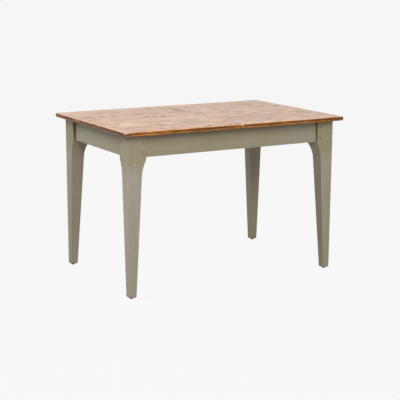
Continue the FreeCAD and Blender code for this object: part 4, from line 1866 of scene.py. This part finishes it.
@dataclass
class PegHeads:
    """Pegs through the leg faces, two at each joint, cut off a little proud."""

    radius: float = 0.0045
    proud: float = 0.0005
    length: float = 0.030
    setback: float = 0.014
    height_shares: tuple[float, float] = (0.21, 0.70)
    sides: int = 18
    rim: float = 0.0007
    rim_segments: int = 2
    old_age: float = 0.90
    thin_paint: float = 0.08
    thick_paint: float = 0.95

    def build(self, finish: Material) -> Piece:
        """Makes all the pegs as one piece.

        Args:
            finish: The peg wood.

        Returns:
            The piece.
        """
        leg_low, leg_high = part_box("leg_back_right")
        apron_low, apron_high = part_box("apron_front")
        rise = apron_high.z - apron_low.z
        shape = bmesh.new()
        for name in ("ring", "age", "painted"):
            shape.verts.layers.float.new(name)
        for share in self.height_shares:
            upper = share == max(self.height_shares)
            height = apron_low.z + share * rise
            for corner in Corner:
                x_sign, y_sign = corner.value
                long_side = Vector((x_sign * (leg_low.x + self.setback), y_sign * leg_high.y, height))
                end = Vector((x_sign * leg_high.x, y_sign * (leg_low.y + self.setback), height))
                kept_bright = x_sign < 0
                self.peg(shape, long_side, Vector((0.0, y_sign, 0.0)), 0.0 if kept_bright else self.old_age,
                         0.0 if kept_bright else self.thin_paint)
                bare = corner is Corner.FRONT_LEFT and upper
                self.peg(shape, end, Vector((x_sign, 0.0, 0.0)), self.old_age,
                         0.0 if bare else self.thick_paint)
        return finished_piece("peg_heads", shape, finish, "frame", ["tenon_pegs"])

    def peg(self, shape: Shape, face: Vector, outward: Vector, age: float, painted: float) -> None:
        """Adds one peg.

        Args:
            shape: The pegs so far.
            face: Where its middle line meets the leg's face.
            outward: Direction out of the face.
            age: How dark its wood is, from 0 to 1.
            painted: How far paint covers it, from 0 to 1.
        """
        turn = outward.to_track_quat("Z", "Y").to_matrix().to_4x4()
        middle = face + outward * (self.proud - self.length / 2)
        made = bmesh.ops.create_cone(shape, cap_ends=True, cap_tris=False, segments=self.sides,
                                     radius1=self.radius, radius2=self.radius, depth=self.length,
                                     matrix=Matrix.Translation(middle) @ turn)
        shape.normal_update()
        cap = next(f for v in made["verts"] for f in v.link_faces if f.normal.dot(outward) > FLAT)
        rounded(shape, list(cap.edges), self.rim, self.rim_segments)
        caps = [f for f in shape.faces if len(f.verts) == self.sides]
        cap = max(caps, key=lambda f: f.normal.dot(outward) - (f.calc_center_median() - face).length)
        bmesh.ops.poke(shape, faces=[cap])
        layers = shape.verts.layers.float
        for vertex in shape.verts:
            spoke = vertex.co - face
            reach = spoke.length
            spoke -= outward * spoke.dot(outward)
            if reach <= self.length and spoke.length < self.radius * SLACK:
                vertex[layers["ring"]] = spoke.length / self.radius
                vertex[layers["age"]] = age
                vertex[layers["painted"]] = painted


@dataclass
class PaintedFrame:
    """Legs, aprons and pegs, with the blocks, glides and screws that go with them."""

    paints: dict[Axis, Material]
    peg: Material
    bare: dict[Axis, Material]
    glide: Material
    metal: Material
    # The end aprons' greyer tones are painted light, like the cooler cast on the legs' end faces, and an even
    # painted shade darkens them.
    end_lit_tones: tuple[float, float] = (0.42, 0.52)
    end_shade: float = 0.07

    def build(self) -> list[Piece]:
        """Builds the painted pieces and dresses the rest.

        Returns:
            The pieces.
        """
        pieces = []
        for corner, wear in LEG_WEAR.items():
            pieces.append(Leg(corner, wear).build(self.paints[Axis.Z]))
        for word in ("front", "back"):
            pieces.append(Apron(word, Axis.X).build(self.paints[Axis.X]))
        for word in ("left", "right"):
            apron = Apron(word, Axis.Y, tones=self.end_lit_tones, face_shade=self.end_shade)
            pieces.append(apron.build(self.paints[Axis.Y]))
        pieces.append(PegHeads().build(self.peg))
        for corner in Corner:
            dressed_node(f"corner_block_{corner.word()}", self.bare[Axis.X])
        for word in ("left", "right"):
            dressed_node(f"bearer_{word}", self.bare[Axis.Y])
        for word in ("front", "back"):
            dressed_node(f"guide_rail_{word}", self.bare[Axis.X])
        dressed_node("foot_glides", self.glide)
        dressed_node("corner_screws", self.metal)
        dressed_node("rail_screws", self.metal)
        return pieces


@dataclass
class SlideGear:
    """What each half carries underneath: cleats, bars, screws, dowels and catches."""

    bare: dict[Axis, Material]
    dowel: Material
    metal: Material
    hook: Material

    def dress(self) -> None:
        """Gives every node its finish."""
        for half in Half:
            for word in ("inner", "outer"):
                dressed_node(f"{half.word()}_cleat_{word}", self.bare[Axis.Y])
            for word in ("front", "back"):
                dressed_node(f"{half.word()}_slide_bar_{word}", self.bare[Axis.X])
            dressed_node(f"{half.word()}_cleat_screws", self.metal)
            dressed_node(f"{half.word()}_bar_screws", self.metal)
        dressed_node("seam_dowels", self.dowel)
        for name in ("catch_hook_front", "catch_hook_back", "catch_pivots", "catch_posts"):
            dressed_node(name, self.hook)


@dataclass(frozen=True)
class SoftBox:
    """A square studio lamp that points at the table: where it stands, its width and its power in watts."""

    name: str
    azimuth: float
    elevation: float
    distance: float
    width: float
    power: float


@dataclass
class Studio:
    """Pale floor, soft light and the camera where the photograph was taken from."""

    floor_half: float = 150.0
    white: Colour = (0.930, 0.930, 0.930)
    floor_albedo: Colour = (0.400, 0.400, 0.400)
    floor_white: Colour = (0.980, 0.980, 0.980)
    plain_share: float = 0.93
    sky_strength: float = 0.26
    lamps: tuple[SoftBox, ...] = (
        SoftBox("left_box", azimuth=-105.0, elevation=38.0, distance=4.0, width=1.6, power=72.0),
        SoftBox("front_box", azimuth=-23.0, elevation=26.0, distance=4.5, width=1.2, power=70.0),
        SoftBox("high_box", azimuth=8.0, elevation=42.0, distance=4.5, width=1.2, power=42.0),
        SoftBox("right_box", azimuth=78.0, elevation=24.0, distance=5.0, width=2.0, power=34.0),
        SoftBox("back_box", azimuth=-177.0, elevation=30.0, distance=5.0, width=2.0, power=30.0),
    )
    aim: Point = (0.0, 0.0, 0.5)
    camera_place: Point = (-2.5827, -4.5078, 1.4501)
    camera_azimuth: float = 29.91
    camera_tilt: float = 12.03
    camera_roll: float = 0.26
    photo_width: float = 400.0
    photo_focal: float = 1056.78
    sensor_width: float = 36.0

    def build(self) -> None:
        """Sets up floor, world, lamps and camera."""
        bpy.context.scene.view_settings.view_transform = "Standard"
        self.floor()
        self.sky()
        for lamp in self.lamps:
            self.hang(lamp)
        self.camera()

    def seen(self, sketch: NodeSketch) -> Socket:
        """Where a ray from the camera, a mirror or glass arrives.

        Args:
            sketch: The tree.

        Returns:
            1 for such a ray and 0 for any other.
        """
        path = sketch.node("ShaderNodeLightPath").outputs
        return sketch.most(path["Is Camera Ray"], path["Is Glossy Ray"], path["Is Transmission Ray"])

    def floor(self) -> None:
        """Makes the floor, which looks plain white but keeps the table's shadow."""
        shape = bmesh.new()
        bmesh.ops.create_grid(shape, x_segments=1, y_segments=1, size=self.floor_half)
        mesh = bpy.data.meshes.new("studio_floor")
        shape.to_mesh(mesh)
        shape.free()
        material = bpy.data.materials.new("studio_white")
        material.use_nodes = True
        material.node_tree.nodes.clear()
        sketch = NodeSketch(material.node_tree)
        matt = sketch.node("ShaderNodeBsdfDiffuse")
        sketch.feed(matt.inputs["Color"], self.floor_albedo)
        plain = sketch.node("ShaderNodeEmission")
        sketch.feed(plain.inputs["Color"], self.floor_white)
        both = sketch.node("ShaderNodeMixShader")
        sketch.feed(both.inputs[0], sketch.times(self.seen(sketch), self.plain_share))
        sketch.feed(both.inputs[1], matt.outputs[0])
        sketch.feed(both.inputs[2], plain.outputs[0])
        sketch.feed(sketch.node("ShaderNodeOutputMaterial").inputs["Surface"], both.outputs[0])
        mesh.materials.append(material)
        floor = bpy.data.objects.new("studio_floor", mesh)
        bpy.context.scene.collection.objects.link(floor)

    def sky(self) -> None:
        """Lights the room evenly, with the plain background where it is seen."""
        world = bpy.data.worlds.new("studio")
        bpy.context.scene.world = world
        world.use_nodes = True
        sketch = NodeSketch(world.node_tree)
        background = world.node_tree.nodes["Background"]
        sketch.feed(background.inputs["Color"], self.white)
        strength = sketch.span(self.seen(sketch), self.sky_strength, 1.0)
        sketch.feed(background.inputs["Strength"], strength)

    def hang(self, box: SoftBox) -> None:
        """Adds one lamp.

        Args:
            box: The lamp's place and size.
        """
        light = bpy.data.lights.new(box.name, "AREA")
        light.shape = "SQUARE"
        light.size = box.width
        light.energy = box.power
        turn = math.radians(box.azimuth)
        rise = math.radians(box.elevation)
        towards = Vector((math.sin(turn) * math.cos(rise), -math.cos(turn) * math.cos(rise), math.sin(rise)))
        lamp = bpy.data.objects.new(box.name, light)
        lamp.rotation_mode = "QUATERNION"
        lamp.rotation_quaternion = (-towards).to_track_quat("-Z", "Y")
        lamp.location = Vector(self.aim) + towards * box.distance
        bpy.context.scene.collection.objects.link(lamp)

    def camera(self) -> None:
        """Stands the camera at the photograph's viewing angle."""
        lens = bpy.data.cameras.new("photo_view")
        lens.sensor_width = self.sensor_width
        lens.lens = self.sensor_width * self.photo_focal / self.photo_width
        lens.clip_end = 2.0 * self.floor_half
        turn = math.radians(self.camera_azimuth)
        tilt = math.radians(self.camera_tilt)
        forward = Vector((math.sin(turn) * math.cos(tilt), math.cos(turn) * math.cos(tilt), -math.sin(tilt)))
        level = forward.to_track_quat("-Z", "Y")
        camera = bpy.data.objects.new("photo_view", lens)
        camera.rotation_mode = "QUATERNION"
        camera.rotation_quaternion = level @ Quaternion((0.0, 0.0, 1.0), math.radians(self.camera_roll))
        camera.location = self.camera_place
        bpy.context.scene.collection.objects.link(camera)
        bpy.context.scene.camera = camera


def main() -> None:
    """Builds the table's looks, piece by piece, and the studio round it."""
    logging.basicConfig(level=logging.INFO, format="%(name)s: %(message)s")
    effects = Effects.build()
    board_pitch = (CAD_HIGH.y - CAD_LOW.y) / BOARD_COUNT
    top_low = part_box("left_board_1")[0]
    leaf_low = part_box("leaf_board_1")[0]
    planks = PlankFinish("old_waxed_pine", Axis.X, board_pitch, first_joint=top_low.y, underside=top_low.z,
                         seed=13.0, marks=TOP_MARKS, pale_marks=PALE_MARKS, honey_marks=HONEY_MARKS,
                         rim_marks=RIM_MARKS).material(effects)
    leaf_planks = PlankFinish("leaf_waxed_pine", Axis.Y, board_pitch, first_joint=leaf_low.x,
                              underside=leaf_low.z, seed=31.0).material(effects)
    paints = {axis: PaintFinish(f"sage_paint_{axis.word()}", axis).material(effects) for axis in Axis}
    bare = {axis: BareWoodFinish(f"bare_pine_{axis.word()}", axis).material(effects)
            for axis in (Axis.X, Axis.Y)}
    peg = PegFinish("peg_end_grain").material(effects)
    metal = MetalFinish("zinc_screws").material(effects)
    hook = MetalFinish("catch_steel", rust_share=0.1).material(effects)
    glide = GlideFinish("foot_glide").material(effects)
    pieces = PlankTop(planks).build()
    pieces += StoredLeaf(leaf_planks, bare[Axis.X], bare[Axis.Y], metal).build()
    pieces += PaintedFrame(paints, peg, bare, glide, metal).build()
    SlideGear(bare, bare[Axis.X], metal, hook).dress()
    Studio().build()


if __name__ == "__main__":
    main()
